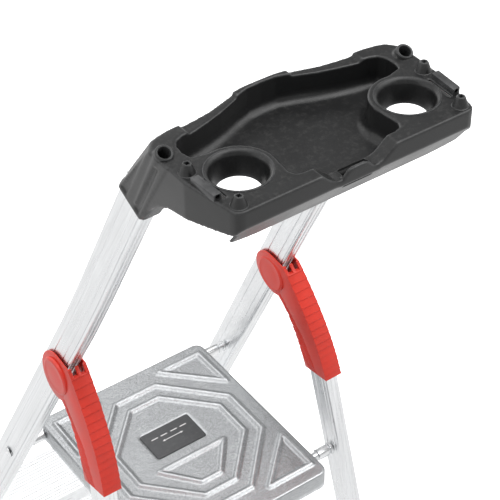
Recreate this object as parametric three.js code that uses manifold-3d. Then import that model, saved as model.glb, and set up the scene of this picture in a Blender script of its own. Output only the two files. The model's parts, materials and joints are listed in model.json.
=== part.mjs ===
// A household step ladder: bent front rails with three grooved treads, a pressed platform, folding rear legs
// on curved hinge caps, and a plastic tool tray on top. Millimetres, +Z up, +X to the climber's right,
// +Y towards the rear legs. The origin is on the floor, at the middle of the open ladder's outline.
import * as THREE from "three";
import { mergeVertices } from "three/addons/utils/BufferGeometryUtils.js";
import Module from "manifold-3d";

const wasm = await Module();
wasm.setup();

// Driving dimensions. Every z is measured from the floor. The platform's front edge is at y = 0, and the
// group as a whole is moved by CENTRE_Y, which puts the origin in the middle of the outline.
const STEP_PITCH = 220;
const TREAD_COUNT = 3;
const PLATFORM_Z = STEP_PITCH * (TREAD_COUNT + 1);
const TRAY_Z = PLATFORM_Z + 606;
const CENTRE_Y = 14.31;
const GAP = 0.3;

const RAIL = { x: 164.5, y: -4.5, thick: 16, depth: 42.5, wall: 1.8, lean: 0.524, flare: 0.073 };
const RAIL_BEND_Z = PLATFORM_Z + 315;
const RAIL_UPPER = { lean: 0.504, flare: 0.035 };
const RAIL_TOP_Z = PLATFORM_Z + 556;
const RAIL_BOTTOM_Z = 6;

const LEG = { x: 164.4, y: 214.4, thick: 16, depth: 35, wall: 1.6, lean: -0.191, flare: 0.073 };
const LEG_TOP_Z = PLATFORM_Z + 110;
const PIVOT = { y: 137, z: PLATFORM_Z + 203, r: 4 };
const CAP = { disc: 29, clear: 1.6, cheek: 1.5, lowZ: PLATFORM_Z + 96 };

const PLATE = { x: 117, depth: 270, flange: 25, sheet: 2, corner: 12 };
const LABEL = { x: 34, y0: 96, y1: 139, corner: 2, thick: 0.9 };
const AXLE = { y: 12, z: PLATFORM_Z - 14, r: 4 };
const ROD = { y: 234, z: PLATFORM_Z - 12, r: 5 };
const SADDLE = { x: 78, half: 16, front: 18, rear: 20, high: 18 };

const TREAD = { depth: 84, front: 30, rear: 24, lip: 11, sheet: 2.4, ribs: 10, ribHigh: 1.2 };
const STRUT = { drop: 80, reach: 95, thick: 3, half: 8 };
const BRACE = { heights: [150, 500], back: 8, depth: 12, half: 15, sheet: 2 };
const SMALL_RIVET = { r: 5, high: 2.4 };
const LARGE_RIVET = { r: 7, high: 3 };
const RIVET_OFF = 0.9;

const TRAY = {
  rearY: 441.5,
  frontY: 294.5,
  sideX: 136,
  skirt: 48,
  band: 18,
  lean: 21,
  wall: 2.6,
  pocket: 30,
};
const SLEEVE = { lowZ: TRAY_Z - 70, wall: 2.6 };
const SOCKET = { x: 129.5, y: 339.5, r: 8.2, bore: 5.6, deep: 40, proud: 4 };
const HOLE = { x: 90, y: 392.5, rim: 29.5, top: 26.5, low: 20.5, deep: 22 };
const NOTCH = { half: 23, spread: 42, deep: 19, y: 421 };
const HOOK = { half: 13, tip: 7, high: 12 };
const BOSS = { r: 8.5, tip: 4.5, high: 10 };
const BOSSES = [
  [126.5, 371],
  [117, 431],
];
const CLIP = { x0: 124.5, x1: 132.5, y0: 384, y1: 415, high: 5.5 };

const aluminium = new THREE.MeshStandardMaterial({ color: 0xd5d7d9, roughness: 0.38, metalness: 1 });
const galvanised = new THREE.MeshStandardMaterial({ color: 0xa9adb0, roughness: 0.42, metalness: 1 });
const steel = new THREE.MeshStandardMaterial({ color: 0xc4c6c8, roughness: 0.3, metalness: 1 });
const redPlastic = new THREE.MeshStandardMaterial({ color: 0xd8372b, roughness: 0.45, metalness: 0 });
const blackPlastic = new THREE.MeshStandardMaterial({ color: 0x2d2f31, roughness: 0.5, metalness: 0 });
const label = new THREE.MeshStandardMaterial({ color: 0x4c4f52, roughness: 0.6, metalness: 0 });
const rubber = new THREE.MeshStandardMaterial({ color: 0x1d1e1f, roughness: 0.8, metalness: 0 });

const ladder = new THREE.Group();
ladder.position.y = CENTRE_Y;

// ---- solids ----

function solid(geometry) {
  const bare = geometry.clone();
  bare.deleteAttribute("normal");
  bare.deleteAttribute("uv");
  const merged = mergeVertices(bare, 1e-4);
  return new wasm.Manifold(
    new wasm.Mesh({
      numProp: 3,
      vertProperties: new Float32Array(merged.attributes.position.array),
      triVerts: new Uint32Array(merged.index.array),
    }),
  );
}

function geometryOf(body) {
  const mesh = body.getMesh();
  const geometry = new THREE.BufferGeometry();
  geometry.setAttribute("position", new THREE.BufferAttribute(new Float32Array(mesh.vertProperties), 3));
  geometry.setIndex(new THREE.BufferAttribute(new Uint32Array(mesh.triVerts), 1));
  geometry.computeVertexNormals();
  return geometry;
}

function join(...geometries) {
  return geometryOf(geometries.map(solid).reduce((all, next) => all.add(next)));
}

function cut(geometry, ...tools) {
  return geometryOf(tools.map(solid).reduce((left, tool) => left.subtract(tool), solid(geometry)));
}

// Adds one named mesh; mirror puts it on the left-hand side.
function add(name, geometry, material, mirror = false) {
  const mesh = new THREE.Mesh(geometry, material);
  mesh.name = name;
  mesh.scale.x = mirror ? -1 : 1;
  ladder.add(mesh);
}

function addPair(name, geometry, material) {
  add(name + "_right", geometry, material);
  add(name + "_left", geometry, material, true);
}

// ---- shapes ----

function polygon(points) {
  return new THREE.Shape(points.map(([a, b]) => new THREE.Vector2(a, b)));
}

function roundedRect(x0, y0, x1, y1, r) {
  const shape = new THREE.Shape();
  shape.moveTo(x0 + r, y0);
  shape.lineTo(x1 - r, y0);
  shape.absarc(x1 - r, y0 + r, r, -Math.PI / 2, 0);
  shape.lineTo(x1, y1 - r);
  shape.absarc(x1 - r, y1 - r, r, 0, Math.PI / 2);
  shape.lineTo(x0 + r, y1);
  shape.absarc(x0 + r, y1 - r, r, Math.PI / 2, Math.PI);
  shape.lineTo(x0, y0 + r);
  shape.absarc(x0 + r, y0 + r, r, Math.PI, Math.PI * 1.5);
  return shape;
}

// Extrudes a shape and then moves each vertex: place(a, b, k) gives the place of shape point (a, b) at
// step k.
function sweep(shape, steps, place, curveSegments = 6) {
  const options = { depth: steps, steps, bevelEnabled: false, curveSegments };
  const geometry = new THREE.ExtrudeGeometry(shape, options);
  const at = geometry.attributes.position;
  for (let i = 0; i < at.count; i++) at.setXYZ(i, ...place(at.getX(i), at.getY(i), Math.round(at.getZ(i))));
  return geometry;
}

// A plan shape between two heights.
const upright = (shape, z0, z1, curve) => sweep(shape, 1, (x, y, k) => [x, y, k ? z1 : z0], curve);

// A side-view shape, given as (y, z), between two x positions that may depend on the height.
const crosswise = (shape, x0, x1, curve) => sweep(shape, 1, (y, z, k) => [k ? x1(z) : x0(z), y, z], curve);

const fixed = (value) => () => value;

function box(x0, x1, y0, y1, z0, z1) {
  const box = new THREE.BoxGeometry(x1 - x0, y1 - y0, z1 - z0);
  return box.translate((x0 + x1) / 2, (y0 + y1) / 2, (z0 + z1) / 2);
}

function rodAlongX(x0, x1, y, z, r, sides = 20) {
  const rod = new THREE.CylinderGeometry(r, r, x1 - x0, sides).rotateZ(Math.PI / 2);
  return rod.translate((x0 + x1) / 2, y, z);
}

// ---- slanted bars ----

// The outer front corner of a front rail at a height, before and after its bend.
function railAt(z) {
  const low = Math.min(z, RAIL_BEND_Z) - PLATFORM_Z;
  const high = Math.max(z - RAIL_BEND_Z, 0);
  return {
    x: RAIL.x - low * RAIL.flare - high * RAIL_UPPER.flare,
    y: RAIL.y + low * RAIL.lean + high * RAIL_UPPER.lean,
  };
}

// The outer front corner of a rear leg at a height.
function legAt(z) {
  return { x: LEG.x - (z - PLATFORM_Z) * LEG.flare, y: LEG.y + (z - PLATFORM_Z) * LEG.lean };
}

// A bar whose level section is carried along a corner line, grown by a margin on every side.
function bar(cornerAt, size, heights, margin = 0, radius = 1.5, hole = null) {
  const shape = roundedRect(-size.thick - margin, -margin, margin, size.depth + margin, radius);
  if (hole) shape.holes.push(hole);
  return sweep(
    shape,
    heights.length - 1,
    (a, b, k) => {
      const corner = cornerAt(heights[k]);
      return [corner.x + a, corner.y + b, heights[k]];
    },
    2,
  );
}

function barHole(size) {
  return roundedRect(-size.thick + size.wall, size.wall, -size.wall, size.depth - size.wall, 0.8);
}

// Shallow grooves along a bar's outer and inner webs.
function grooves(cornerAt, size, heights) {
  const deep = 0.6;
  const wide = 1.6;
  const cuts = [];
  for (const share of [0.3, 0.7]) {
    for (const side of [0, -size.thick]) {
      const y = size.depth * share;
      const shape = polygon([
        [side - deep, y],
        [side + deep, y],
        [side + deep, y + wide],
        [side - deep, y + wide],
      ]);
      cuts.push(
        sweep(shape, heights.length - 1, (a, b, k) => {
          const corner = cornerAt(heights[k]);
          return [corner.x + a, corner.y + b, heights[k]];
        }),
      );
    }
  }
  return cuts;
}

// A shoe over the lower end of a bar, with a wider sole.
function foot(cornerAt, size, high, sole) {
  const shoe = bar(cornerAt, size, [0, high], 3.2, 3);
  const pad = upright(
    roundedRect(
      cornerAt(0).x - size.thick - 5,
      cornerAt(0).y - sole,
      cornerAt(0).x + 5,
      cornerAt(0).y + size.depth + sole,
      4,
    ),
    0,
    9,
  );
  return cut(join(shoe, pad), bar(cornerAt, size, [RAIL_BOTTOM_Z - GAP, high + 1], GAP));
}

// ---- front frame ----

const RAIL_HEIGHTS = [RAIL_BOTTOM_Z, RAIL_BEND_Z, RAIL_TOP_Z];

function frontRail() {
  const rail = bar(railAt, RAIL, RAIL_HEIGHTS, 0, 1.5, barHole(RAIL));
  const pinHole = rodAlongX(100, 200, PIVOT.y, PIVOT.z, PIVOT.r + GAP);
  return cut(rail, ...grooves(railAt, RAIL, [0, RAIL_BEND_Z, RAIL_TOP_Z + 1]), pinHole);
}

addPair("front_rail", frontRail(), aluminium);
addPair("front_foot", foot(railAt, RAIL, 46, 4.5), rubber);

// A tread's side view: ribbed top, deep front flange with a lip, shallower rear flange with a lip.
function treadShape(middleY, topZ) {
  const { depth, front, rear, lip, sheet, ribs, ribHigh } = TREAD;
  const y0 = middleY - depth / 2;
  const y1 = middleY + depth / 2;
  const deck = topZ - ribHigh;
  const points = [
    [y0, topZ - front],
    [y0 + lip, topZ - front],
    [y0 + lip, topZ - front + sheet],
    [y0 + sheet, topZ - front + sheet],
    [y0 + sheet, deck - sheet],
    [y1 - sheet, deck - sheet],
    [y1 - sheet, topZ - rear + sheet],
    [y1 - lip, topZ - rear + sheet],
    [y1 - lip, topZ - rear],
    [y1, topZ - rear],
    [y1, deck - 1],
  ];
  const pitch = (depth - 6) / ribs;
  for (let i = ribs - 1; i >= 0; i--) {
    const start = y0 + 3 + pitch * i;
    points.push([start + pitch * 0.78, deck], [start + pitch * 0.7, topZ]);
    points.push([start + pitch * 0.3, topZ], [start + pitch * 0.22, deck]);
  }
  points.push([y0, deck - 1]);
  return polygon(points);
}

const railInner = (z) => railAt(z).x - RAIL.thick - GAP;
const railMiddleY = (z) => railAt(z).y + RAIL.depth / 2;

// A rivet's head on a right-hand bar's outer face.
function rivetHead(x, y, z, { r, high }) {
  const head = new THREE.CylinderGeometry(r * 0.6, r, high, 16).rotateZ(-Math.PI / 2);
  return head.translate(x + RIVET_OFF + high / 2, y, z);
}

for (let i = 1; i <= TREAD_COUNT; i++) {
  const z = STEP_PITCH * i;
  add("tread_" + i, crosswise(treadShape(railMiddleY(z), z), (h) => -railInner(h), railInner), aluminium);
  const rivetZ = z - 12;
  [-12, 12].forEach((offset, n) => {
    const head = rivetHead(railAt(rivetZ).x, railMiddleY(rivetZ) + offset, rivetZ, SMALL_RIVET);
    addPair("tread_" + i + "_rivet_" + (n + 1), head, steel);
  });
}

// Flat struts from the lowest tread's underside out to the rails.
function treadStrut() {
  const { thick } = STRUT;
  const topZ = STEP_PITCH - TREAD.front - 0.5;
  const lowZ = topZ - STRUT.drop;
  const endX = railInner(lowZ) - 3;
  const startX = endX - STRUT.reach;
  const middle = railMiddleY((topZ + lowZ) / 2) - 4;
  const shape = polygon([
    [startX, topZ],
    [startX, topZ - thick],
    [startX + 12, topZ - thick],
    [endX - thick, lowZ + 14],
    [endX - thick, lowZ],
    [endX, lowZ],
    [endX, lowZ + 16],
    [startX + 15, topZ],
  ]);
  return sweep(shape, 1, (x, z, k) => [x, middle + (k ? -STRUT.half : STRUT.half), z]);
}
addPair("tread_strut", treadStrut(), aluminium);

// The platform's front axle and its spacer sleeves.
const axleEnd = railInner(AXLE.z) - GAP;
add("platform_axle", rodAlongX(-axleEnd, axleEnd, AXLE.y, AXLE.z, AXLE.r), steel);

function axleSleeve() {
  const x0 = PLATE.x + 0.8;
  const x1 = x0 + 20;
  return cut(
    rodAlongX(x0, x1, AXLE.y, AXLE.z, 7),
    rodAlongX(x0 - 1, x1 + 1, AXLE.y, AXLE.z, AXLE.r + GAP),
  );
}
addPair("axle_sleeve", axleSleeve(), steel);
addPair("axle_head", rivetHead(railAt(AXLE.z).x, AXLE.y, AXLE.z, LARGE_RIVET), steel);

// The hinge pin, with a flat head on each side of the cap.
const pivotX = railAt(PIVOT.z).x - RAIL.thick / 2;
const capHalf = RAIL.thick / 2 + CAP.clear + CAP.cheek;

function hingePivot() {
  const reach = capHalf + 0.8;
  const end = reach + 1.5;
  const headR = 7;
  const rod = (x0, x1, r) => rodAlongX(pivotX + x0, pivotX + x1, PIVOT.y, PIVOT.z, r, 24);
  return join(rod(-end, end, PIVOT.r), rod(reach, end, headR), rod(-end, -reach, headR));
}
addPair("hinge_pivot", hingePivot(), steel);

// ---- rear legs ----

function rearLeg() {
  const heights = [RAIL_BOTTOM_Z, LEG_TOP_Z];
  return cut(bar(legAt, LEG, heights, 0, 1.5, barHole(LEG)), ...grooves(legAt, LEG, [0, LEG_TOP_Z + 1]));
}
addPair("rear_leg", rearLeg(), aluminium);
addPair("rear_foot", foot(legAt, LEG, 42, 2.5), rubber);

// The curved cap: a disc round the pivot that runs down into a sleeve over the leg's end.
const capMiddle = (z) => pivotX + RAIL.flare * (PIVOT.z - z);

// The cap's side view. Its low end is square to the leg.
function capOuterShape() {
  const margin = CAP.cheek + GAP;
  const front = legAt(CAP.lowZ).y - margin;
  const rear = front + LEG.depth + 2 * margin;
  const rearZ = CAP.lowZ - (rear - front) * LEG.lean;
  const neckAngle = -1.2;
  const shape = new THREE.Shape();
  shape.moveTo(front, CAP.lowZ);
  shape.lineTo(rear, rearZ);
  shape.quadraticCurveTo(PIVOT.y + 83, PIVOT.z - 39, PIVOT.y + 26, PIVOT.z + 26);
  shape.lineTo(PIVOT.y, PIVOT.z + CAP.disc);
  shape.absarc(PIVOT.y, PIVOT.z, CAP.disc, Math.PI / 2, Math.PI * 2 + neckAngle);
  shape.quadraticCurveTo(PIVOT.y + 36.5, PIVOT.z - 43, front, CAP.lowZ);
  return shape;
}

// The cap's hollow: open at the bottom for the leg, and open forwards and upwards for the rail.
function capInnerShape() {
  const low = CAP.lowZ - 10;
  const front = legAt(low).y - GAP;
  const rear = front + LEG.depth + 2 * GAP;
  const turnZ = LEG_TOP_Z + 1;
  const clearY = PIVOT.y - 60;
  const wallY = PIVOT.y + 24;
  const shape = new THREE.Shape();
  shape.moveTo(front, low);
  shape.lineTo(rear, low);
  shape.lineTo(legAt(turnZ).y + LEG.depth + GAP, turnZ);
  shape.quadraticCurveTo(PIVOT.y + 82.4, PIVOT.z - 45, wallY, PIVOT.z + 24.5);
  shape.lineTo(wallY, PIVOT.z + 47);
  shape.lineTo(clearY, PIVOT.z + 47);
  shape.lineTo(clearY, PIVOT.z - 37);
  shape.lineTo(PIVOT.y + 18.5, PIVOT.z - 37);
  shape.quadraticCurveTo(PIVOT.y + 39, PIVOT.z - 49, legAt(CAP.lowZ).y - GAP, CAP.lowZ);
  return shape;
}

function hingeCap() {
  const room = RAIL.thick / 2 + CAP.clear;
  const outer = crosswise(capOuterShape(), (z) => capMiddle(z) - capHalf, (z) => capMiddle(z) + capHalf, 12);
  const inner = crosswise(capInnerShape(), (z) => capMiddle(z) - room, (z) => capMiddle(z) + room, 12);
  const pinHole = rodAlongX(100, 200, PIVOT.y, PIVOT.z, PIVOT.r + GAP, 24);
  return cut(outer, inner, pinHole);
}
addPair("hinge_cap", hingeCap(), redPlastic);

const legInner = (z) => legAt(z).x - LEG.thick - GAP;
const rodEnd = legInner(ROD.z) - GAP;
add("rear_rod", rodAlongX(-rodEnd, rodEnd, ROD.y, ROD.z, ROD.r), steel);
addPair("rod_head", rivetHead(legAt(ROD.z).x, ROD.y, ROD.z, LARGE_RIVET), steel);

// Channel braces across the rear legs.
function braceShape(z) {
  const { depth, half, sheet } = BRACE;
  const y = legAt(z).y + BRACE.back;
  return polygon([
    [y, z - half],
    [y + depth, z - half],
    [y + depth, z - half + sheet],
    [y + sheet, z - half + sheet],
    [y + sheet, z + half - sheet],
    [y + depth, z + half - sheet],
    [y + depth, z + half],
    [y, z + half],
  ]);
}
BRACE.heights.forEach((z, n) => {
  const name = "rear_brace_" + (n + 1);
  add(name, crosswise(braceShape(z), (h) => -legInner(h), legInner), aluminium);
  const head = rivetHead(legAt(z).x, legAt(z).y + BRACE.back + BRACE.depth / 2, z, SMALL_RIVET);
  addPair(name + "_rivet", head, steel);
});

// ---- platform ----

// A slot for the rear rod, open downwards and widening forwards so that the plate lifts off it.
function rodSlot(x0, x1, margin) {
  const r = ROD.r + margin;
  const shape = new THREE.Shape();
  const low = PLATFORM_Z - 40;
  shape.moveTo(ROD.y - r - 0.9 * (ROD.z - low), low);
  shape.lineTo(ROD.y + r, low);
  shape.lineTo(ROD.y + r, ROD.z);
  shape.absarc(ROD.y, ROD.z, r, 0, Math.PI);
  return crosswise(shape, fixed(x0), fixed(x1), 8);
}

function platformPlate() {
  const { x, depth, flange, sheet, corner } = PLATE;
  const outer = upright(roundedRect(-x, 0, x, depth, corner), PLATFORM_Z - flange, PLATFORM_Z, 5);
  const inside = roundedRect(-x + sheet, sheet, x - sheet, depth - sheet, corner - sheet);
  const hollow = upright(inside, PLATFORM_Z - flange - 1, PLATFORM_Z - sheet, 5);
  const axleHole = rodAlongX(-x - 5, x + 5, AXLE.y, AXLE.z, AXLE.r + GAP);
  const slots = [rodSlot(-x - 5, -x + 5, 0.5), rodSlot(x - 5, x + 5, 0.5)];
  return cut(outer, hollow, axleHole, labelPlan(GAP, LABEL.thick + GAP, 1), ...slots);
}

// The label's plan grown by a margin, from a depth below the platform's top to a height above it.
function labelPlan(margin, deep, high) {
  const { x, y0, y1, corner } = LABEL;
  const shape = roundedRect(-x - margin, y0 - margin, x + margin, y1 + margin, corner);
  return upright(shape, PLATFORM_Z - deep, PLATFORM_Z + high, 3);
}
add("platform_plate", platformPlate(), galvanised);
add("platform_label", labelPlan(0, LABEL.thick, 0), label);

// Plastic saddles under the plate that sit over the rod.
function saddle() {
  const { x, half, front, rear, high } = SADDLE;
  const top = PLATFORM_Z - PLATE.sheet - GAP;
  const block = box(x - half, x + half, ROD.y - front, ROD.y + rear, top - high, top);
  return cut(block, rodSlot(x - half - 1, x + half + 1, GAP));
}
addPair("platform_saddle", saddle(), blackPlastic);

// ---- tray ----

// Half of the tray's plan for x >= 0, from the middle of the front to the middle of the rear, grown by g.
function trayHalf(g) {
  return [
    [0, TRAY.frontY - g],
    [26, TRAY.frontY + 1 - g],
    [60, 306 - g],
    [104, 310.5 - g],
    [121 + g * 0.3, 313.5 - g],
    [131 + g * 0.7, 318 - g * 0.7],
    [TRAY.sideX - 1.5 + g, 325 - g * 0.4],
    [TRAY.sideX + g, 345],
    [TRAY.sideX + g, 380],
    [129.5 + g, 419],
    [127 + g, 433],
    [124.5 + g * 0.7, 438.5 + g * 0.7],
    [118.5 + g * 0.4, TRAY.rearY + g],
    [0, TRAY.rearY + g],
  ];
}

function mirrored(half) {
  const left = half.slice(1, -1).reverse();
  return polygon([...half, ...left.map(([x, y]) => [-x, y])]);
}

// Half of the pocket's plan: wide at the front, then curved round the holes to a narrower rear, grown by g.
function pocketHalf(g) {
  const points = [
    [0, TRAY.frontY + 4 - g],
    [30, 307 - g],
    [70, 319.5 - g],
    [102, 326 - g],
    [112 + g * 0.7, 331.5 - g * 0.7],
    [114.5 + g, 345],
    [111 + g * 0.7, 357 + g],
  ];
  const arcR = 34 - g;
  for (const angle of [100, 125, 150, 175]) {
    const turn = (angle * Math.PI) / 180;
    points.push([HOLE.x + arcR * Math.cos(turn), HOLE.y - arcR * Math.sin(turn)]);
  }
  return [...points, [60 + g, 419], [55 + g * 0.7, 425 + g], [0, 425 + g]];
}

function trayShell() {
  const under = TRAY_Z - TRAY.skirt;
  const bandZ = TRAY_Z - TRAY.band;
  const leanY = TRAY.rearY - TRAY.lean;
  const outer = upright(mirrored(trayHalf(0)), under, TRAY_Z);
  const room = upright(mirrored(trayHalf(-TRAY.wall)), under - 1, TRAY_Z - TRAY.wall);
  const tub = upright(mirrored(pocketHalf(TRAY.wall)), TRAY_Z - TRAY.pocket - TRAY.wall, TRAY_Z);
  // Below its band the rear wall slants in.
  const rearCut = polygon([
    [TRAY.rearY + 1, under - 1],
    [TRAY.rearY + 1, bandZ],
    [TRAY.rearY, bandZ],
    [leanY, under - 1],
  ]);
  const rearWall = polygon([
    [leanY - 3, under],
    [leanY, under],
    [TRAY.rearY, bandZ],
    [TRAY.rearY, TRAY_Z - 1],
    [TRAY.rearY - 14, TRAY_Z - 1],
    [TRAY.rearY - 14, bandZ - 4],
  ]);
  const wallX = 120;
  return solid(outer)
    .subtract(solid(crosswise(rearCut, fixed(-200), fixed(200))))
    .subtract(solid(room))
    .add(solid(crosswise(rearWall, fixed(-wallX), fixed(wallX))))
    .add(solid(tub));
}

// The skirt's lower edge rises towards the rear corners.
function skirtCut() {
  const rise = polygon([
    [355, TRAY_Z - 60],
    [355, TRAY_Z - 47],
    [412, TRAY_Z - 38],
    [438, TRAY_Z - 26],
    [450, TRAY_Z - 18],
    [450, TRAY_Z - 60],
  ]);
  return crosswise(rise, fixed(112), fixed(200));
}

// Round holes: a rounded rim and a flared collar through the deck; the collar's outside when it has a wall.
function holeCollar(wall) {
  const above = wall ? 0 : 1;
  const profile = [
    [0, -HOLE.deep - above],
    [HOLE.low + wall, -HOLE.deep - above],
    [HOLE.low + wall, 4 - HOLE.deep],
    [HOLE.top - 1.5 + wall, -7],
    [HOLE.top + wall, -3],
    [HOLE.rim, 0],
    [HOLE.rim, above],
    [0, above],
  ].filter(([r, z], i, all) => i === 0 || r !== all[i - 1][0] || z !== all[i - 1][1]);
  const lathe = new THREE.LatheGeometry(profile.map(([r, z]) => new THREE.Vector2(r, z)), 32);
  return lathe.rotateX(Math.PI / 2).translate(HOLE.x, HOLE.y, TRAY_Z);
}

// A truncated cone standing on the deck.
function boss([x, y]) {
  const cone = new THREE.CylinderGeometry(BOSS.tip, BOSS.r, BOSS.high + 1, 16).rotateX(Math.PI / 2);
  return cone.translate(x, y, TRAY_Z + (BOSS.high - 1) / 2);
}

// The sleeve that holds a rail's end: it grows from the rail's section up to the tray's rounded corner.
// Its section is a rectangle with one corner cut off, and its low end is square to the rail.
function sleeveOuter() {
  const low = railAt(SLEEVE.lowZ);
  const { wall } = SLEEVE;
  const lowWide = RAIL.thick + 2 * wall;
  const lowDeep = RAIL.depth + 2 * wall;
  const stations = [
    { z: SLEEVE.lowZ, x: low.x + wall, y: low.y - wall, w: lowWide, d: lowDeep, c: 2 },
    { z: TRAY_Z - 1, x: TRAY.sideX + 0.3, y: 315, w: 30, d: 45, c: 8 },
  ];
  const level = 1 / (1 + RAIL_UPPER.lean ** 2);
  const cornerAt = 0.25;
  const shape = polygon([
    [-1, 0],
    [-cornerAt, 0],
    [0, cornerAt],
    [0, 1],
    [-1, 1],
  ]);
  return sweep(shape, 1, (a, b, k) => {
    const s = stations[k];
    const across = a === -cornerAt ? s.c : -a * s.w;
    const along = b === cornerAt ? s.c : b * s.d;
    const run = k ? along : along * level;
    return [s.x - across, s.y + run, s.z - (k ? 0 : run * RAIL_UPPER.lean)];
  });
}

// The left-hand copy of a right-hand shape.
function mirror(geometry) {
  const flipped = geometry.index ? geometry.toNonIndexed() : geometry.clone();
  const at = flipped.scale(-1, 1, 1).attributes.position;
  const corner = (i) => [at.getX(i), at.getY(i), at.getZ(i)];
  for (let i = 0; i < at.count; i += 3) {
    const [second, third] = [corner(i + 1), corner(i + 2)];
    at.setXYZ(i + 1, ...third);
    at.setXYZ(i + 2, ...second);
  }
  return flipped;
}

function socketRod(r, from, to) {
  const lean = Math.atan(RAIL_UPPER.lean);
  const tube = new THREE.CylinderGeometry(r, r, to - from, 20).rotateX(Math.PI / 2);
  return tube.translate(0, 0, (from + to) / 2).rotateX(-lean).translate(SOCKET.x, SOCKET.y, TRAY_Z);
}

// The notch in the rear rim, in front view as (x, z).
function rimNotch() {
  const low = TRAY_Z - NOTCH.deep;
  const shape = polygon([
    [-NOTCH.half, low],
    [NOTCH.half, low],
    [NOTCH.spread, TRAY_Z + 1],
    [-NOTCH.spread, TRAY_Z + 1],
  ]);
  return sweep(shape, 1, (x, z, k) => [x, k ? NOTCH.y : TRAY.rearY + 6, z]);
}

function tray() {
  const both = (geometry) => [geometry, mirror(geometry)];
  const joined = [
    ...both(holeCollar(TRAY.wall)),
    ...both(sleeveOuter()),
    ...both(socketRod(SOCKET.r, -80, SOCKET.proud)),
    ...BOSSES.flatMap((place) => both(boss(place))),
  ];
  const removed = [
    upright(mirrored(pocketHalf(0)), TRAY_Z - TRAY.pocket, TRAY_Z + 30),
    ...both(skirtCut()),
    ...both(holeCollar(0)),
    ...both(bar(railAt, RAIL, [RAIL_TOP_Z - 100, RAIL_TOP_Z + GAP], GAP)),
    ...both(socketRod(SOCKET.bore, -SOCKET.deep, SOCKET.proud + 1)),
    rimNotch(),
  ];
  const body = joined.map(solid).reduce((all, next) => all.add(next), trayShell());
  return geometryOf(removed.map(solid).reduce((left, tool) => left.subtract(tool), body));
}
add("tray", tray(), blackPlastic);

// The hook tongue that stands in the notch.
function hookTongue() {
  const low = TRAY_Z - NOTCH.deep + GAP;
  const shape = polygon([
    [-HOOK.half, low],
    [HOOK.half, low],
    [HOOK.tip, low + HOOK.high],
    [-HOOK.tip, low + HOOK.high],
  ]);
  return sweep(shape, 1, (x, z, k) => [x, TRAY.rearY - (k ? 5 : 1), z]);
}
add("tray_hook", hookTongue(), blackPlastic);

// Accessory clips on the deck's side edges.
const clipTop = TRAY_Z + CLIP.high;
addPair("tray_clip", box(CLIP.x0, CLIP.x1, CLIP.y0, CLIP.y1, TRAY_Z + GAP, clipTop), blackPlastic);

export default ladder;
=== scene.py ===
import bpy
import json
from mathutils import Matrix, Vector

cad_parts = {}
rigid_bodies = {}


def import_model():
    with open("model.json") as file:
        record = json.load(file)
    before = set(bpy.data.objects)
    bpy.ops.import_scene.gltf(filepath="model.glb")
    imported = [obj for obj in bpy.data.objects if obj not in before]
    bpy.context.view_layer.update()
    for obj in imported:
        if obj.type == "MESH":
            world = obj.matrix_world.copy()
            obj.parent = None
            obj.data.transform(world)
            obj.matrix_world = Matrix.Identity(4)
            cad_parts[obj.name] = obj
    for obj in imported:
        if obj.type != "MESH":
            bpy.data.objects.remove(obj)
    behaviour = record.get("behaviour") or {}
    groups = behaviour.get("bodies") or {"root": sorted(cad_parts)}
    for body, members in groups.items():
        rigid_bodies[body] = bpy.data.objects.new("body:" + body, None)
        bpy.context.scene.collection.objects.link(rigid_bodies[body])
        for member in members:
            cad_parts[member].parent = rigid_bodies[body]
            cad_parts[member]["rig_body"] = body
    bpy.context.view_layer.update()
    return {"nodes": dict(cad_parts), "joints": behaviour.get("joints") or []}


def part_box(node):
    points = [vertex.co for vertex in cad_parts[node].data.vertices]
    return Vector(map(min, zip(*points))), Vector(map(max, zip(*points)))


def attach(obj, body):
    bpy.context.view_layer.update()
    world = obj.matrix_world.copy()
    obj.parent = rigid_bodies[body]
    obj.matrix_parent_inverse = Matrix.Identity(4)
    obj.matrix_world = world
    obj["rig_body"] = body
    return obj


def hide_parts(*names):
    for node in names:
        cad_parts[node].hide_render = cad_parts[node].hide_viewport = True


bl_info = {
    "name": "Step ladder with tool tray",
    "version": (1, 0, 0),
    "blender": (4, 5, 0),
    "location": "View3D > Sidebar > Step ladder",
    "description": "Builds a household step ladder's fine shapes, finishes and studio round its CAD frame",
    "category": "Object",
}

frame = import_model()

import json
import math

import bmesh
import bpy
from mathutils import Matrix, Vector

MM = 0.001
SIDES = {"right": 1, "left": -1}

# ---- places, from the frame; y in mm is measured from the platform's front edge, z from the floor ----

PLATE_LOW, PLATE_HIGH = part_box("platform_plate")
TRAY_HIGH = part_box("tray")[1]
JOINT_AT = {joint["name"]: Vector(joint["pos_m"]) for joint in frame["joints"]}
FRONT_Y = PLATE_LOW.y
BOSS_HIGH = 10
PLATFORM_TOP = PLATE_HIGH.z / MM
DECK = TRAY_HIGH.z / MM - BOSS_HIGH
REAR = (TRAY_HIGH.y - FRONT_Y) / MM
PIVOT_Y = (JOINT_AT["rear_legs_fold"].y - FRONT_Y) / MM
PIVOT_Z = JOINT_AT["rear_legs_fold"].z / MM


def at(x, y, z):
    """A place in metres, from millimetres out, back from the platform's edge and up from the floor."""
    return Vector((x * MM, FRONT_Y + y * MM, z * MM))


def on_deck(x, y, z):
    """A place near the tray, whose heights are measured from its deck."""
    return at(x, y, DECK + z)


def level_section(node, z):
    """The lowest and highest corner of a CAD node's level section at a height in millimetres."""
    bm = bmesh.new()
    bm.from_mesh(frame["nodes"][node].data)
    everything = bm.verts[:] + bm.edges[:] + bm.faces[:]
    cut = bmesh.ops.bisect_plane(
        bm, geom=everything, plane_co=(0, 0, z * MM), plane_no=(0, 0, 1)
    )["geom_cut"]
    places = [v.co.copy() for v in cut if isinstance(v, bmesh.types.BMVert)]
    bm.free()
    low = Vector([min(p[i] for p in places) for i in range(3)])
    high = Vector([max(p[i] for p in places) for i in range(3)])
    return low, high


# ---- sizes and colours that a user would change ----


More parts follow.
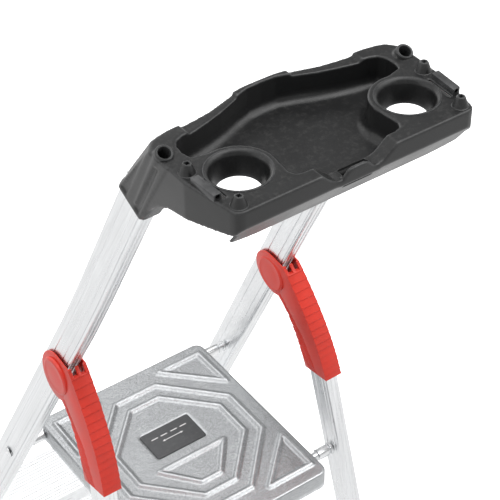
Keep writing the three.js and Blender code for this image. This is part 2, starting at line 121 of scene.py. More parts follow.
class LadderSizes(bpy.types.PropertyGroup):
    rail_wall: bpy.props.FloatProperty(
        name="Rail wall", description="Wall of the rails and legs", default=0.0018, unit="LENGTH"
    )
    rail_groove: bpy.props.FloatProperty(
        name="Rail groove", description="Depth of the grooves along the rails", default=0.0006, unit="LENGTH"
    )
    tread_ribs: bpy.props.IntProperty(name="Tread ribs", description="Ribs on each tread", default=16, min=4)
    bead_high: bpy.props.FloatProperty(
        name="Bead height", description="Height of the platform's pressed beads",
        default=0.003, unit="LENGTH"
    )
    bead_half: bpy.props.FloatProperty(
        name="Bead half width", description="From a bead's crest to its foot", default=0.0048, unit="LENGTH"
    )
    cap_steps: bpy.props.IntProperty(
        name="Cap steps", description="Steps down a hinge cap's back", default=16, min=4
    )
    cap_grooves: bpy.props.IntProperty(
        name="Cap grooves", description="Grooves on a cap's side", default=8, min=2
    )
    tray_cell: bpy.props.FloatProperty(
        name="Tray cell", description="Cell size of the moulded tray's mesh", default=0.00125, unit="LENGTH"
    )


class LadderColours(bpy.types.PropertyGroup):
    aluminium: bpy.props.FloatVectorProperty(
        name="Aluminium", description="Rails, legs and treads",
        default=(0.82, 0.83, 0.84), size=3, subtype="COLOR"
    )
    zinc: bpy.props.FloatVectorProperty(
        name="Zinc", description="Galvanised platform", default=(0.43, 0.44, 0.45), size=3, subtype="COLOR"
    )
    red: bpy.props.FloatVectorProperty(
        name="Red", description="Hinge caps", default=(0.72, 0.035, 0.018), size=3, subtype="COLOR"
    )
    charcoal: bpy.props.FloatVectorProperty(
        name="Charcoal", description="Tray", default=(0.0105, 0.0107, 0.011), size=3, subtype="COLOR"
    )
    label: bpy.props.FloatVectorProperty(
        name="Label", description="Platform label", default=(0.055, 0.057, 0.06), size=3, subtype="COLOR"
    )
    rubber: bpy.props.FloatVectorProperty(
        name="Rubber", description="Feet", default=(0.016, 0.016, 0.017), size=3, subtype="COLOR"
    )


class StudioLight(bpy.types.PropertyGroup):
    key: bpy.props.FloatProperty(
        name="Key light", description="Power of the key light", default=16.0, unit="POWER"
    )
    fill: bpy.props.FloatProperty(
        name="Fill light", description="Power of the fill light", default=9.0, unit="POWER"
    )
    sky: bpy.props.FloatProperty(name="Sky", description="Strength of the surrounding light", default=1.0)


# ---- meshes ----


def outline(points):
    """A bmesh with one flat face through a few points."""
    bm = bmesh.new()
    bm.faces.new([bm.verts.new(p) for p in points])
    return bm


def corners_of(geom):
    return [v for v in geom if isinstance(v, bmesh.types.BMVert)]


def thicken(bm, way):
    """Extrudes every face of a flat bmesh by a vector into a closed solid."""
    grown = bmesh.ops.extrude_face_region(bm, geom=bm.faces[:])
    bmesh.ops.translate(bm, vec=way, verts=corners_of(grown["geom"]))
    bmesh.ops.recalc_face_normals(bm, faces=bm.faces[:])
    return bm


def prism(points, way):
    return thicken(outline(points), Vector(way))


def block(low, high):
    bm = bmesh.new()
    bmesh.ops.create_cube(bm, size=1)
    size = [h - l for l, h in zip(low, high)]
    bmesh.ops.scale(bm, vec=size, verts=bm.verts[:])
    bmesh.ops.translate(bm, vec=(Vector(low) + Vector(high)) / 2, verts=bm.verts[:])
    return bm


def sharp_edges(bm, limit):
    return [e for e in bm.edges if len(e.link_faces) == 2 and e.calc_face_angle(0) > math.radians(limit)]


def soften(bm, offset, segments=2, limit=30, edges=None):
    """Rounds the sharp edges, or the given ones."""
    chosen = sharp_edges(bm, limit) if edges is None else edges
    bmesh.ops.bevel(
        bm, geom=chosen, offset=offset, segments=segments, profile=0.5,
        affect="EDGES", material=-1, clamp_overlap=True
    )
    return bm


TURN_TO = {
    "X": Matrix.Identity(4),
    "Y": Matrix.Rotation(math.pi / 2, 4, "Z"),
    "Z": Matrix.Rotation(-math.pi / 2, 4, "Y"),
}


def turned(profile, centre, axis="X", steps=40):
    """A turned piece: a profile of (along, radius) in millimetres, spun round an axis through the centre."""
    bm = bmesh.new()
    verts = [bm.verts.new((a * MM, 0, max(r, 0) * MM)) for a, r in profile]
    edges = [bm.edges.new(pair) for pair in zip(verts, verts[1:])]
    bmesh.ops.spin(
        bm, geom=verts + edges, axis=(1, 0, 0), cent=(0, 0, 0), angle=math.tau, steps=steps, use_merge=True
    )
    bmesh.ops.remove_doubles(bm, verts=bm.verts[:], dist=1e-6)
    bmesh.ops.recalc_face_normals(bm, faces=bm.faces[:])
    bmesh.ops.transform(bm, matrix=Matrix.Translation(centre) @ TURN_TO[axis], verts=bm.verts[:])
    return bm


def mirrored(bm):
    """The left-hand copy of a right-hand shape."""
    twin = bm.copy()
    bmesh.ops.scale(twin, vec=(-1, 1, 1), verts=twin.verts[:])
    bmesh.ops.reverse_faces(twin, faces=twin.faces[:])
    return twin


def on_side(bm, side):
    if side > 0:
        return bm
    twin = mirrored(bm)
    bm.free()
    return twin


def loose_object(bm, name="part"):
    mesh = bpy.data.meshes.new(name)
    bm.to_mesh(mesh)
    bm.free()
    made = bpy.data.objects.new(name, mesh)
    bpy.context.scene.collection.objects.link(made)
    return made


def worked(base, tools=(), joins=(), modifiers=()):
    """Joins and cuts solids, runs more modifiers on the result, and gives it back as a bmesh."""
    body = loose_object(base, "body")
    parts = [(loose_object(bm), "UNION") for bm in joins] + [
        (loose_object(bm), "DIFFERENCE") for bm in tools
    ]
    for part, way in parts:
        step = body.modifiers.new("step", "BOOLEAN")
        step.operation = way
        step.solver = "EXACT"
        step.object = part
    for kind, settings in modifiers:
        step = body.modifiers.new("step", kind)
        for key, value in settings.items():
            setattr(step, key, value)
    shown = body.evaluated_get(bpy.context.evaluated_depsgraph_get())
    bm = bmesh.new()
    bm.from_mesh(shown.to_mesh())
    shown.to_mesh_clear()
    for made in [body] + [part for part, way in parts]:
        mesh = made.data
        bpy.data.objects.remove(made)
        bpy.data.meshes.remove(mesh)
    return bm


def cad_copy(node):
    """A merged copy of a CAD node's mesh, with its flat faces made whole."""
    bm = bmesh.new()
    bm.from_mesh(frame["nodes"][node].data)
    bmesh.ops.remove_doubles(bm, verts=bm.verts[:], dist=2e-6)
    bmesh.ops.dissolve_limit(bm, angle_limit=math.radians(2), verts=bm.verts[:], edges=bm.edges[:])
    return bm


def finish_piece(name, bm, body, material, nodes=(), smooth=38):
    """Makes a bmesh a piece of the ladder: shaded, given its finish, and riding on its body."""
    for face in bm.faces:
        face.smooth = True
    for edge in bm.edges:
        edge.smooth = len(edge.link_faces) != 2 or edge.calc_face_angle(0) < math.radians(smooth)
    piece = loose_object(bm, name)
    piece.name = name
    piece.data.materials.append(material)
    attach(piece, body)
    if nodes:
        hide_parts(*nodes)
    return piece


# ---- finishes ----


def node(tree, kind, inputs=None, **settings):
    """Adds a shader node; an input's value may be a number, a colour or another node's output."""
    made = tree.nodes.new(kind)
    for key, value in settings.items():
        setattr(made, key, value)
    for key, value in (inputs or {}).items():
        if isinstance(value, bpy.types.NodeSocket):
            tree.links.new(value, made.inputs[key])
        else:
            made.inputs[key].default_value = value
    return made


def effect_group(name, inputs, outputs):
    """An empty shader node group, with its input and output nodes."""
    tree = bpy.data.node_groups.new(name, "ShaderNodeTree")
    for socket, default in inputs.items():
        kind = "NodeSocketVector" if isinstance(default, tuple) else "NodeSocketFloat"
        made = tree.interface.new_socket(name=socket, in_out="INPUT", socket_type=kind)
        made.default_value = default
    for socket in outputs:
        tree.interface.new_socket(name=socket, in_out="OUTPUT", socket_type="NodeSocketFloat")
    return tree, tree.nodes.new("NodeGroupInput"), tree.nodes.new("NodeGroupOutput")


def grain_group():
    """Fine moulded grain, with slow clouds of tone."""
    tree, given, out = effect_group(
        "Moulded grain", {"Scale": 900.0, "Cloud scale": 22.0}, ["Height", "Clouds"]
    )
    place = node(tree, "ShaderNodeTexCoord").outputs["Object"]
    fine = node(
        tree,
        "ShaderNodeTexNoise",
        {"Vector": place, "Scale": given.outputs["Scale"], "Detail": 3.0, "Roughness": 0.6},
    )
    slow = node(
        tree, "ShaderNodeTexNoise", {"Vector": place, "Scale": given.outputs["Cloud scale"], "Detail": 4.0}
    )
    tree.links.new(fine.outputs["Fac"], out.inputs["Height"])
    tree.links.new(slow.outputs["Fac"], out.inputs["Clouds"])
    return tree


def wear_group():
    """A mask of the edges made bright: partly rubbed wear, partly a painted highlight."""
    tree, given, out = effect_group("Edge wear and highlight", {"Start": 0.52, "End": 0.6, "Scale": 60.0}, ["Mask"])
    place = node(tree, "ShaderNodeTexCoord").outputs["Object"]
    # Convex edges, found by pointiness, are made bright: partly rubbed wear, partly a painted highlight.
    bend = node(tree, "ShaderNodeNewGeometry").outputs["Pointiness"]
    edge = node(
        tree,
        "ShaderNodeMapRange",
        {"Value": bend, "From Min": given.outputs["Start"], "From Max": given.outputs["End"]},
    )
    patchy = node(
        tree, "ShaderNodeTexNoise", {"Vector": place, "Scale": given.outputs["Scale"], "Detail": 3.0}
    )
    patches = node(
        tree, "ShaderNodeMapRange", {
            "Value": patchy.outputs["Fac"], "From Min": 0.35, "From Max": 0.65, "To Min": 0.3
        }
    )
    mask = node(
        tree, "ShaderNodeMath", {0: edge.outputs["Result"], 1: patches.outputs["Result"]},
        operation="MULTIPLY"
    )
    tree.links.new(mask.outputs["Value"], out.inputs["Mask"])
    return tree


def drawn_lines_group():
    """Die lines along a drawn bar: noise stretched along the bar's own direction."""
    tree, given, out = effect_group(
        "Drawn lines", {"Turn": (0.0, 0.0, 0.0), "Stretch": (600.0, 600.0, 3.0)}, ["Lines", "Streaks"]
    )
    place = node(tree, "ShaderNodeTexCoord").outputs["Object"]
    turned_place = node(tree, "ShaderNodeMapping", {"Vector": place, "Rotation": given.outputs["Turn"]})
    stretched = node(
        tree,
        "ShaderNodeVectorMath",
        {0: turned_place.outputs["Vector"], 1: given.outputs["Stretch"]},
        operation="MULTIPLY",
    )
    lines = node(
        tree, "ShaderNodeTexNoise", {"Vector": stretched.outputs["Vector"], "Scale": 1.0, "Detail": 4.0}
    )
    streaks = node(
        tree, "ShaderNodeTexNoise", {"Vector": stretched.outputs["Vector"], "Scale": 0.22, "Detail": 2.0}
    )
    tree.links.new(lines.outputs["Fac"], out.inputs["Lines"])
    tree.links.new(streaks.outputs["Fac"], out.inputs["Streaks"])
    return tree


def dust_group():
    """A mask of the fine dust that settles on surfaces that face up."""
    tree, given, out = effect_group("Settled dust", {"Amount": 0.1}, ["Mask"])
    place = node(tree, "ShaderNodeTexCoord").outputs["Object"]
    normal = node(tree, "ShaderNodeNewGeometry").outputs["Normal"]
    up = node(tree, "ShaderNodeSeparateXYZ", {"Vector": normal}).outputs["Z"]
    speckle = node(
        tree, "ShaderNodeTexNoise", {"Vector": place, "Scale": 240.0, "Detail": 5.0, "Roughness": 0.7}
    )
    patches = node(
        tree, "ShaderNodeMapRange", {"Value": speckle.outputs["Fac"], "From Min": 0.5, "From Max": 0.8}
    )
    level = node(
        tree, "ShaderNodeMath", {0: up, 1: patches.outputs["Result"]}, operation="MULTIPLY", use_clamp=True
    )
    mask = node(
        tree, "ShaderNodeMath", {0: level.outputs["Value"], 1: given.outputs["Amount"]}, operation="MULTIPLY"
    )
    tree.links.new(mask.outputs["Value"], out.inputs["Mask"])
    return tree


EFFECTS = {}


def effect(tree, name, **inputs):
    """Places one of the shared effects in a material."""
    makers = {"grain": grain_group, "wear_and_highlight": wear_group, "lines": drawn_lines_group, "dust": dust_group}
    if name not in EFFECTS:
        EFFECTS[name] = makers[name]()
    placed = tree.nodes.new("ShaderNodeGroup")
    placed.node_tree = EFFECTS[name]
    for key, value in inputs.items():
        placed.inputs[key.replace("_", " ").capitalize()].default_value = value
    return placed.outputs


def blank_finish(name, **fixed):
    """A new material with a Principled shader whose constant numbers are set on its own sockets."""
    material = bpy.data.materials.new(name)
    material.use_nodes = True
    tree = material.node_tree
    shader = tree.nodes["Principled BSDF"]
    for key, value in fixed.items():
        shader.inputs[key.replace("_", " ")].default_value = value
    return material, tree, shader


def mixed(tree, share, first, second):
    """A blend of two colours, each a colour or an output."""
    made = node(tree, "ShaderNodeMix", data_type="RGBA")
    for socket, value in (("Factor", share), ("A", first), ("B", second)):
        found = [s for s in made.inputs if s.name == socket and s.enabled][0]
        if isinstance(value, bpy.types.NodeSocket):
            tree.links.new(value, found)
        else:
            found.default_value = value
    return [s for s in made.outputs if s.enabled][0]


def ranged(tree, value, low, high, to_low, to_high):
    made = node(
        tree,
        "ShaderNodeMapRange",
        {"Value": value, "From Min": low, "From Max": high, "To Min": to_low, "To Max": to_high},
    )
    return made.outputs["Result"]


def bumped(tree, shader, height, strength, distance):
    bump = node(tree, "ShaderNodeBump", {"Height": height, "Strength": strength, "Distance": distance})
    tree.links.new(bump.outputs["Normal"], shader.inputs["Normal"])


def shade(colour, share):
    """A colour made darker or lighter by a share, with its alpha."""
    return (*[min(c * share, 1) for c in colour], 1)


def drawn_aluminium(name, turn, stretch, base):
    """Mill-finish aluminium with die lines in one direction, dull patches and bright edges, partly rubbed
    wear and partly a painted highlight.
    """
    material, tree, shader = blank_finish(name, Metallic=1.0)
    lines = effect(tree, "lines", turn=turn, stretch=stretch)
    clouds = effect(tree, "grain", scale=500.0, cloud_scale=14.0)
    wear_and_highlight = effect(tree, "wear_and_highlight", start=0.53, end=0.62, scale=90.0)
    streaked = mixed(
        tree, ranged(tree, lines["Streaks"], 0.3, 0.7, 0, 1), shade(base, 0.9), shade(base, 1.04)
    )
    fine = mixed(tree, ranged(tree, lines["Lines"], 0.35, 0.62, 0.3, 0), streaked, shade(base, 0.72))
    # Edges brightened to 1.12 times the base: partly rubbed wear, partly a painted highlight.
    worn_and_highlit = mixed(tree, wear_and_highlight["Mask"], fine, shade(base, 1.12))
    tree.links.new(worn_and_highlit, shader.inputs["Base Color"])
    dull = node(tree, "ShaderNodeMath", {0: lines["Streaks"], 1: clouds["Clouds"]}, operation="ADD")
    tree.links.new(ranged(tree, dull.outputs["Value"], 0.7, 1.3, 0.22, 0.4), shader.inputs["Roughness"])
    bumped(tree, shader, lines["Lines"], 0.12, 0.0001)
    return material


def galvanised_steel(base):
    """Hot-dip zinc with a fine mottled spangle."""
    material, tree, shader = blank_finish("Galvanised sheet", Metallic=1.0)
    place = node(tree, "ShaderNodeTexCoord").outputs["Object"]
    bent = node(tree, "ShaderNodeTexNoise", {"Vector": place, "Scale": 160.0, "Detail": 3.0})
    moved = node(
        tree, "ShaderNodeVectorMath", {0: place, 1: bent.outputs["Color"]}, operation="MULTIPLY_ADD"
    )
    offset = node(
        tree, "ShaderNodeVectorMath", {0: bent.outputs["Color"], "Scale": 0.004}, operation="SCALE"
    )
    tree.links.new(offset.outputs["Vector"], moved.inputs[2])
    spangle = node(tree, "ShaderNodeTexVoronoi", {"Vector": moved.outputs["Vector"], "Scale": 330.0})
    flakes = node(tree, "ShaderNodeSeparateColor", {"Color": spangle.outputs["Color"]})
    clouds = effect(tree, "grain", scale=420.0, cloud_scale=35.0)
    wear_and_highlight = effect(tree, "wear_and_highlight", start=0.52, end=0.58, scale=120.0)
    both = node(tree, "ShaderNodeMath", {0: flakes.outputs["Red"], 1: clouds["Height"]}, operation="ADD")
    mottle = mixed(
        tree, ranged(tree, both.outputs["Value"], 0.55, 1.45, 0, 1), shade(base, 0.62), shade(base, 1.32)
    )
    cloudy = mixed(tree, ranged(tree, clouds["Clouds"], 0.35, 0.65, 0, 0.25), mottle, shade(base, 0.8))
    # Edges brightened to 1.9 times the zinc: partly rubbed wear, partly a painted highlight.
    tree.links.new(mixed(tree, wear_and_highlight["Mask"], cloudy, shade(base, 1.9)), shader.inputs["Base Color"])
    tree.links.new(ranged(tree, flakes.outputs["Green"], 0, 1, 0.2, 0.34), shader.inputs["Roughness"])
    bumped(tree, shader, both.outputs["Value"], 0.18, 0.0003)
    return material


def bright_zinc():
    """Bright zinc-plated steel of the rods, collars and rivets."""
    material, tree, shader = blank_finish("Bright zinc", Metallic=1.0)
    grain = effect(tree, "grain", scale=700.0, cloud_scale=90.0)
    wear_and_highlight = effect(tree, "wear_and_highlight", start=0.52, end=0.62, scale=150.0)
    tone = mixed(tree, grain["Clouds"], (0.55, 0.56, 0.57, 1), (0.86, 0.87, 0.88, 1))
    # Edges lifted to near white: partly rubbed wear, partly a painted highlight.
    tree.links.new(mixed(tree, wear_and_highlight["Mask"], tone, (0.95, 0.95, 0.95, 1)), shader.inputs["Base Color"])
    tree.links.new(ranged(tree, grain["Clouds"], 0.3, 0.7, 0.14, 0.3), shader.inputs["Roughness"])
    bumped(tree, shader, grain["Height"], 0.12, 0.0002)
    return material


def moulded_plastic(name, base, rough, worn_and_highlit, scale, bump, specular=0.5, rubbed_and_highlit_to=2.2):
    """Moulded plastic: fine grain, slow clouds of tone, edges brightened as rubbed wear and painted
    highlight, and a little dust.
    """
    material, tree, shader = blank_finish(name, Specular_IOR_Level=specular)
    grain = effect(tree, "grain", scale=scale, cloud_scale=26.0)
    wear_and_highlight = effect(tree, "wear_and_highlight", start=0.515, end=0.6, scale=80.0)
    dust = effect(tree, "dust", amount=0.06)
    tone = mixed(tree, ranged(tree, grain["Clouds"], 0.3, 0.7, 0, 1), shade(base, 0.9), shade(base, 1.12))
    # Edges brightened towards a lighter colour: partly rubbed wear, partly a painted highlight.
    rubbed_and_highlit = mixed(tree, ranged(tree, wear_and_highlight["Mask"], 0, 1, 0, worn_and_highlit), tone, shade(base, rubbed_and_highlit_to))
    tree.links.new(mixed(tree, dust["Mask"], rubbed_and_highlit, (0.5, 0.49, 0.47, 1)), shader.inputs["Base Color"])
    tree.links.new(
        ranged(tree, grain["Clouds"], 0.3, 0.7, rough - 0.05, rough + 0.06), shader.inputs["Roughness"]
    )
    bumped(tree, shader, grain["Height"], bump, 0.0003)
    return material


FINISHES = {}


def bar_turn(node_name, z0, z1):
    """The turn that lays a leaning bar's direction along Z."""
    low, high = level_section(node_name, z0)[0], level_section(node_name, z1)[0]
    way = high - low
    return (math.atan2(way.y, way.z), -math.atan2(way.x, way.z), 0.0)


def finish(name):
    """The ladder's finishes, each made once."""
    colours = bpy.context.scene.ladder_colours
    mid = PIVOT_Z - 150
    makers = {
        "rail": lambda: drawn_aluminium(
            "Rail aluminium", bar_turn("front_rail_right", mid, PIVOT_Z),
            (700.0, 700.0, 2.0), colours.aluminium
        ),
        "leg": lambda: drawn_aluminium(
            "Leg aluminium", bar_turn("rear_leg_right", 100, 800), (700.0, 700.0, 2.0), colours.aluminium
        ),
        "tread": lambda: drawn_aluminium(
            "Tread aluminium", (0, 0, 0), (2.0, 900.0, 900.0), colours.aluminium
        ),
        "brace": lambda: drawn_aluminium(
            "Brace aluminium", (0, 0, 0), (3.0, 500.0, 500.0), colours.aluminium
        ),
        "zinc": lambda: galvanised_steel(colours.zinc),
        "bright": bright_zinc,
        "red": lambda: moulded_plastic("Red plastic", colours.red, 0.36, 0.25, 1300.0, 0.25),
        # The tray's edges are brightened to nine times its charcoal: mostly a painted highlight along rims
        # and edges, with a little rubbed wear.
        "tray": lambda: moulded_plastic("Tray plastic", colours.charcoal, 0.32, 0.9, 1500.0, 0.2, 0.45, 9.0),
        "label": lambda: moulded_plastic("Label", colours.label, 0.5, 0.3, 2200.0, 0.1),
        "mark": lambda: moulded_plastic("Label mark", (0.6, 0.6, 0.6), 0.5, 0.1, 2200.0, 0.1),
        "rubber": lambda: moulded_plastic("Foot rubber", colours.rubber, 0.7, 0.4, 1100.0, 0.5, 0.3),
    }
    if name not in FINISHES:
        FINISHES[name] = makers[name]()
    return FINISHES[name]


# ---- bars ----

# How far a bar's mesh stops short of the CAD bar's ends, in millimetres.
END_GAP = 0.05


def bar_profile(thick, depth, groove):
    """A bar's level outline in millimetres, from its outer front corner.

    It has two grooves on each web, a seam beside the rear face, and ribs down the rear face.
    """
    deep = groove / MM
    half = 0.9
    seam = depth - 4.2
    outer = []
    for middle, sunk in ((depth * 0.3, deep), (depth * 0.7, deep), (seam, deep * 1.6)):
        outer += [
            (0, middle - half), (-sunk, middle - half * 0.4), (-sunk, middle + half * 0.4),
            (0, middle + half)
        ]
    rear = [(-x, depth) for x in (thick * 0.34, thick * 0.66)]
    ribs = []
    for x, y in rear:
        ribs += [(x + half, y), (x + half * 0.4, y - deep), (x - half * 0.4, y - deep), (x - half, y)]
    inner = [(-thick - x, y) for x, y in reversed(outer)]
    return [(0, 0)] + outer + [(0, depth)] + ribs + [(-thick, depth)] + inner + [(-thick, 0)]


def bar_shell(name, heights, wall, groove):
    """A hollow bar carried along a CAD bar's outer front corner, with round edges."""
    sections = [level_section(name, z) for z in heights]
    places = [Vector((high.x, low.y, z * MM)) for (low, high), z in zip(sections, heights)]
    size = sections[0][1] - sections[0][0]
    start = places[0]
    profile = bar_profile(size.x / MM, size.y / MM, groove)
    bm = outline([start + Vector((x * MM, y * MM, 0)) for x, y in profile])
    bm.verts.ensure_lookup_table()
    corners = [
        v for v, p in zip(bm.verts[:], profile) if p[0] in (0, -size.x / MM) and p[1] in (0, size.y / MM)
    ]
    bmesh.ops.bevel(
        bm, geom=corners, offset=2.4 * MM, segments=4, profile=0.5, affect="VERTICES",
        material=-1, clamp_overlap=True
    )
    long_edges = [e for e in bm.edges if e.calc_length() > 4 * MM]
    bmesh.ops.subdivide_edges(bm, edges=long_edges, cuts=3)
    rim = bm.edges[:]
    bmesh.ops.delete(bm, geom=bm.faces[:], context="FACES_ONLY")
    for here, there in zip(places, places[1:]):
        grown = bmesh.ops.extrude_edge_only(bm, edges=rim)["geom"]
        bmesh.ops.translate(bm, vec=there - here, verts=corners_of(grown))
        rim = [e for e in grown if isinstance(e, bmesh.types.BMEdge)]
    bmesh.ops.recalc_face_normals(bm, faces=bm.faces[:])
    middle = (places[0] + places[-1]) / 2 + Vector((-size.x / 2, size.y / 2, 0))
    facing_in = sum(1 for f in bm.faces if f.normal.dot(f.calc_center_median() - middle) < 0)
    if facing_in > len(bm.faces) / 2:
        bmesh.ops.reverse_faces(bm, faces=bm.faces[:])
    bmesh.ops.solidify(bm, geom=bm.faces[:], thickness=wall)
    return bm


def heights_between(low, high, pitch, mark=math.inf):
    """Heights from low to high, a pitch apart, counted anew from a marked height."""
    found = {low, high}
    z = low
    while z < high:
        found.add(round(z, 3))
        z = mark if z < mark < z + pitch else z + pitch
    return sorted(found)


def build_front_rails():
    """The bent front rails, right and left."""
    sizes = bpy.context.scene.ladder_sizes
    low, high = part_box("front_rail_right")
    below_bend = PLATFORM_TOP + 315 - 26
    heights = heights_between(low.z / MM + END_GAP, high.z / MM - END_GAP, 70, below_bend)
    for side, sign in SIDES.items():
        bm = bar_shell("front_rail_right", heights, sizes.rail_wall, sizes.rail_groove)
        finish_piece(
            "front_rail_" + side + "_tube",
            on_side(bm, sign),
            "front_frame",
            finish("rail"),
            ["front_rail_" + side],
            smooth=30,
        )


def build_rear_legs():
    """The straight rear legs, right and left."""
    sizes = bpy.context.scene.ladder_sizes
    low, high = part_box("rear_leg_right")
    heights = heights_between(low.z / MM + END_GAP, high.z / MM - END_GAP, 60)
    for side, sign in SIDES.items():
        bm = bar_shell("rear_leg_right", heights, sizes.rail_wall, sizes.rail_groove)
        finish_piece(
            "rear_leg_" + side + "_tube",
            on_side(bm, sign),
            "rear_legs",
            finish("leg"),
            ["rear_leg_" + side],
            smooth=30,
        )


def rail_inner_x(z):
    return level_section("front_rail_right", z)[0].x - 0.3 * MM


def build_treads():
    """Treads: ribbed decks with rounded flanges, cut to meet the leaning rails."""
    ribs = bpy.context.scene.ladder_sizes.tread_ribs
    number = 1
    while "tread_" + str(number) in frame["nodes"]:
        name = "tread_" + str(number)
        low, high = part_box(name)
        sheet, lip, rib_high, rear_rise = 2.4 * MM, 11 * MM, 1.1 * MM, 6 * MM
        y0, y1, top, foot = low.y, high.y, high.z, low.z
        deck = top - rib_high
        profile = [(y0, foot), (y0 + lip, foot), (y0 + lip, foot + sheet), (y0 + sheet, foot + sheet)]
        profile += [
            (y0 + sheet, deck - sheet), (y1 - sheet, deck - sheet), (y1 - sheet, foot + rear_rise + sheet)
        ]
        profile += [
            (y1 - lip, foot + rear_rise + sheet), (y1 - lip, foot + rear_rise), (y1, foot + rear_rise)
        ]
        profile += [(y1, deck)]
        pitch = (y1 - y0 - 5 * MM) / ribs
        for i in reversed(range(ribs)):
            start = y0 + 2.5 * MM + pitch * i
            profile += [(start + pitch * 0.82, deck), (start + pitch * 0.72, top)]
            profile += [(start + pitch * 0.28, top), (start + pitch * 0.18, deck)]
        profile += [(y0, deck)]
        bm = prism([(0, y, z) for y, z in profile], (1, 0, 0))
        for v in bm.verts:
            v.co.x = (1 if v.co.x > 0.5 else -1) * rail_inner_x(v.co.z / MM)
        round_edges = [e for e in sharp_edges(bm, 40) if abs(e.verts[0].co.x - e.verts[1].co.x) > 0.1]
        soften(bm, 0.35 * MM, 2, edges=round_edges)
        finish_piece(
            name + "_deck", bm, "front_frame", finish("tread"), [name], smooth=25
        )
        number += 1


# ---- hinge caps ----

CAP_DISC = 29
CAP_SHEET = 1.5


def curve_points(start, control, end, count):
    """Points on a quadratic curve after its start."""
    found = []
    for i in range(1, count + 1):
        t = i / count
        found.append(
            tuple((1 - t) ** 2 * a + 2 * t * (1 - t) * b + t * t * c for a, b, c in zip(start, control, end))
        )
    return found


def arc_points(centre, radius, first, last, count):
    found = []
    for i in range(count + 1):
        turn = first + (last - first) * i / count
        found.append((centre[0] + radius * math.cos(turn), centre[1] + radius * math.sin(turn)))
    return found


def leg_corner(z):
    """The right rear leg's outer front corner, as (x, y) in millimetres; its line goes on above the leg."""
    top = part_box("rear_leg_right")[1].z / MM - 1
    a, b = level_section("rear_leg_right", top - 200), level_section("rear_leg_right", top)
    share = (z - top + 200) / 200
    x = a[1].x + (b[1].x - a[1].x) * share
    y = a[0].y + (b[0].y - a[0].y) * share
    return x / MM, (y - FRONT_Y) / MM


def cap_outline(steps):
    """The cap's side view as (y, z) in millimetres, with steps down its back."""
    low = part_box("hinge_cap_right")[0].z / MM
    depth = (level_section("rear_leg_right", 400)[1].y - level_section("rear_leg_right", 400)[0].y) / MM
    margin = CAP_SHEET + 0.8
    front = leg_corner(low)[1] - margin
    rear = (front + depth + 2 * margin, low + (depth + 2 * margin) * 0.191)
    top = (PIVOT_Y + 26, PIVOT_Z + 26)
    smooth_back = [rear] + curve_points(rear, (PIVOT_Y + 83, PIVOT_Z - 39), top, steps)
    back = []
    for here, there in zip(smooth_back, smooth_back[1:]):
        way = Vector((there[0] - here[0], there[1] - here[1])).normalized()
        out = Vector((way.y, -way.x))
        inward = Vector(there) - way * 0.6
        back += [tuple(Vector(here) + out * 0.15), tuple(inward - out * 0.95)]
    neck = arc_points((PIVOT_Y, PIVOT_Z), CAP_DISC, math.pi / 2, math.tau - 1.2, 26)
    last = neck[-1]
    under = curve_points(last, (PIVOT_Y + 36.5, PIVOT_Z - 43), (front, low), 8)[:-1]
    return [(front, low)] + back + [top] + neck + under


def cap_hollow():
    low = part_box("hinge_cap_right")[0].z / MM - 6
    leg_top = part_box("rear_leg_right")[1].z / MM + 1
    depth = (level_section("rear_leg_right", 400)[1].y - level_section("rear_leg_right", 400)[0].y) / MM
    front, rear = leg_corner(low)[1] - 0.2, leg_corner(low)[1] + depth + 0.2
    points = [(front, low), (rear, low), (leg_corner(leg_top)[1] + depth + 0.2, leg_top)]
    points += curve_points(points[-1], (PIVOT_Y + 82, PIVOT_Z - 45.4), (PIVOT_Y + 23.5, PIVOT_Z + 24), 10)
    points += [(PIVOT_Y + 23.5, PIVOT_Z + 50), (PIVOT_Y - 60, PIVOT_Z + 50), (PIVOT_Y - 60, PIVOT_Z - 37)]
    points += [(PIVOT_Y + 18.5, PIVOT_Z - 37)]
    end = (leg_corner(low + 6)[1] - 0.2, low + 6)
    return points + curve_points(points[-1], (PIVOT_Y + 39, PIVOT_Z - 49), end, 8)


def cap_middle(z):
    """The middle of the right rail's hinge, as x in millimetres, at a height."""
    low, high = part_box("hinge_pivot_right")
    above, below = level_section("rear_leg_right", 800), level_section("rear_leg_right", 400)
    slope = (below[1].x - above[1].x) / (400 * MM)
    return (low.x + high.x) / 2 / MM + slope * (PIVOT_Z - z)


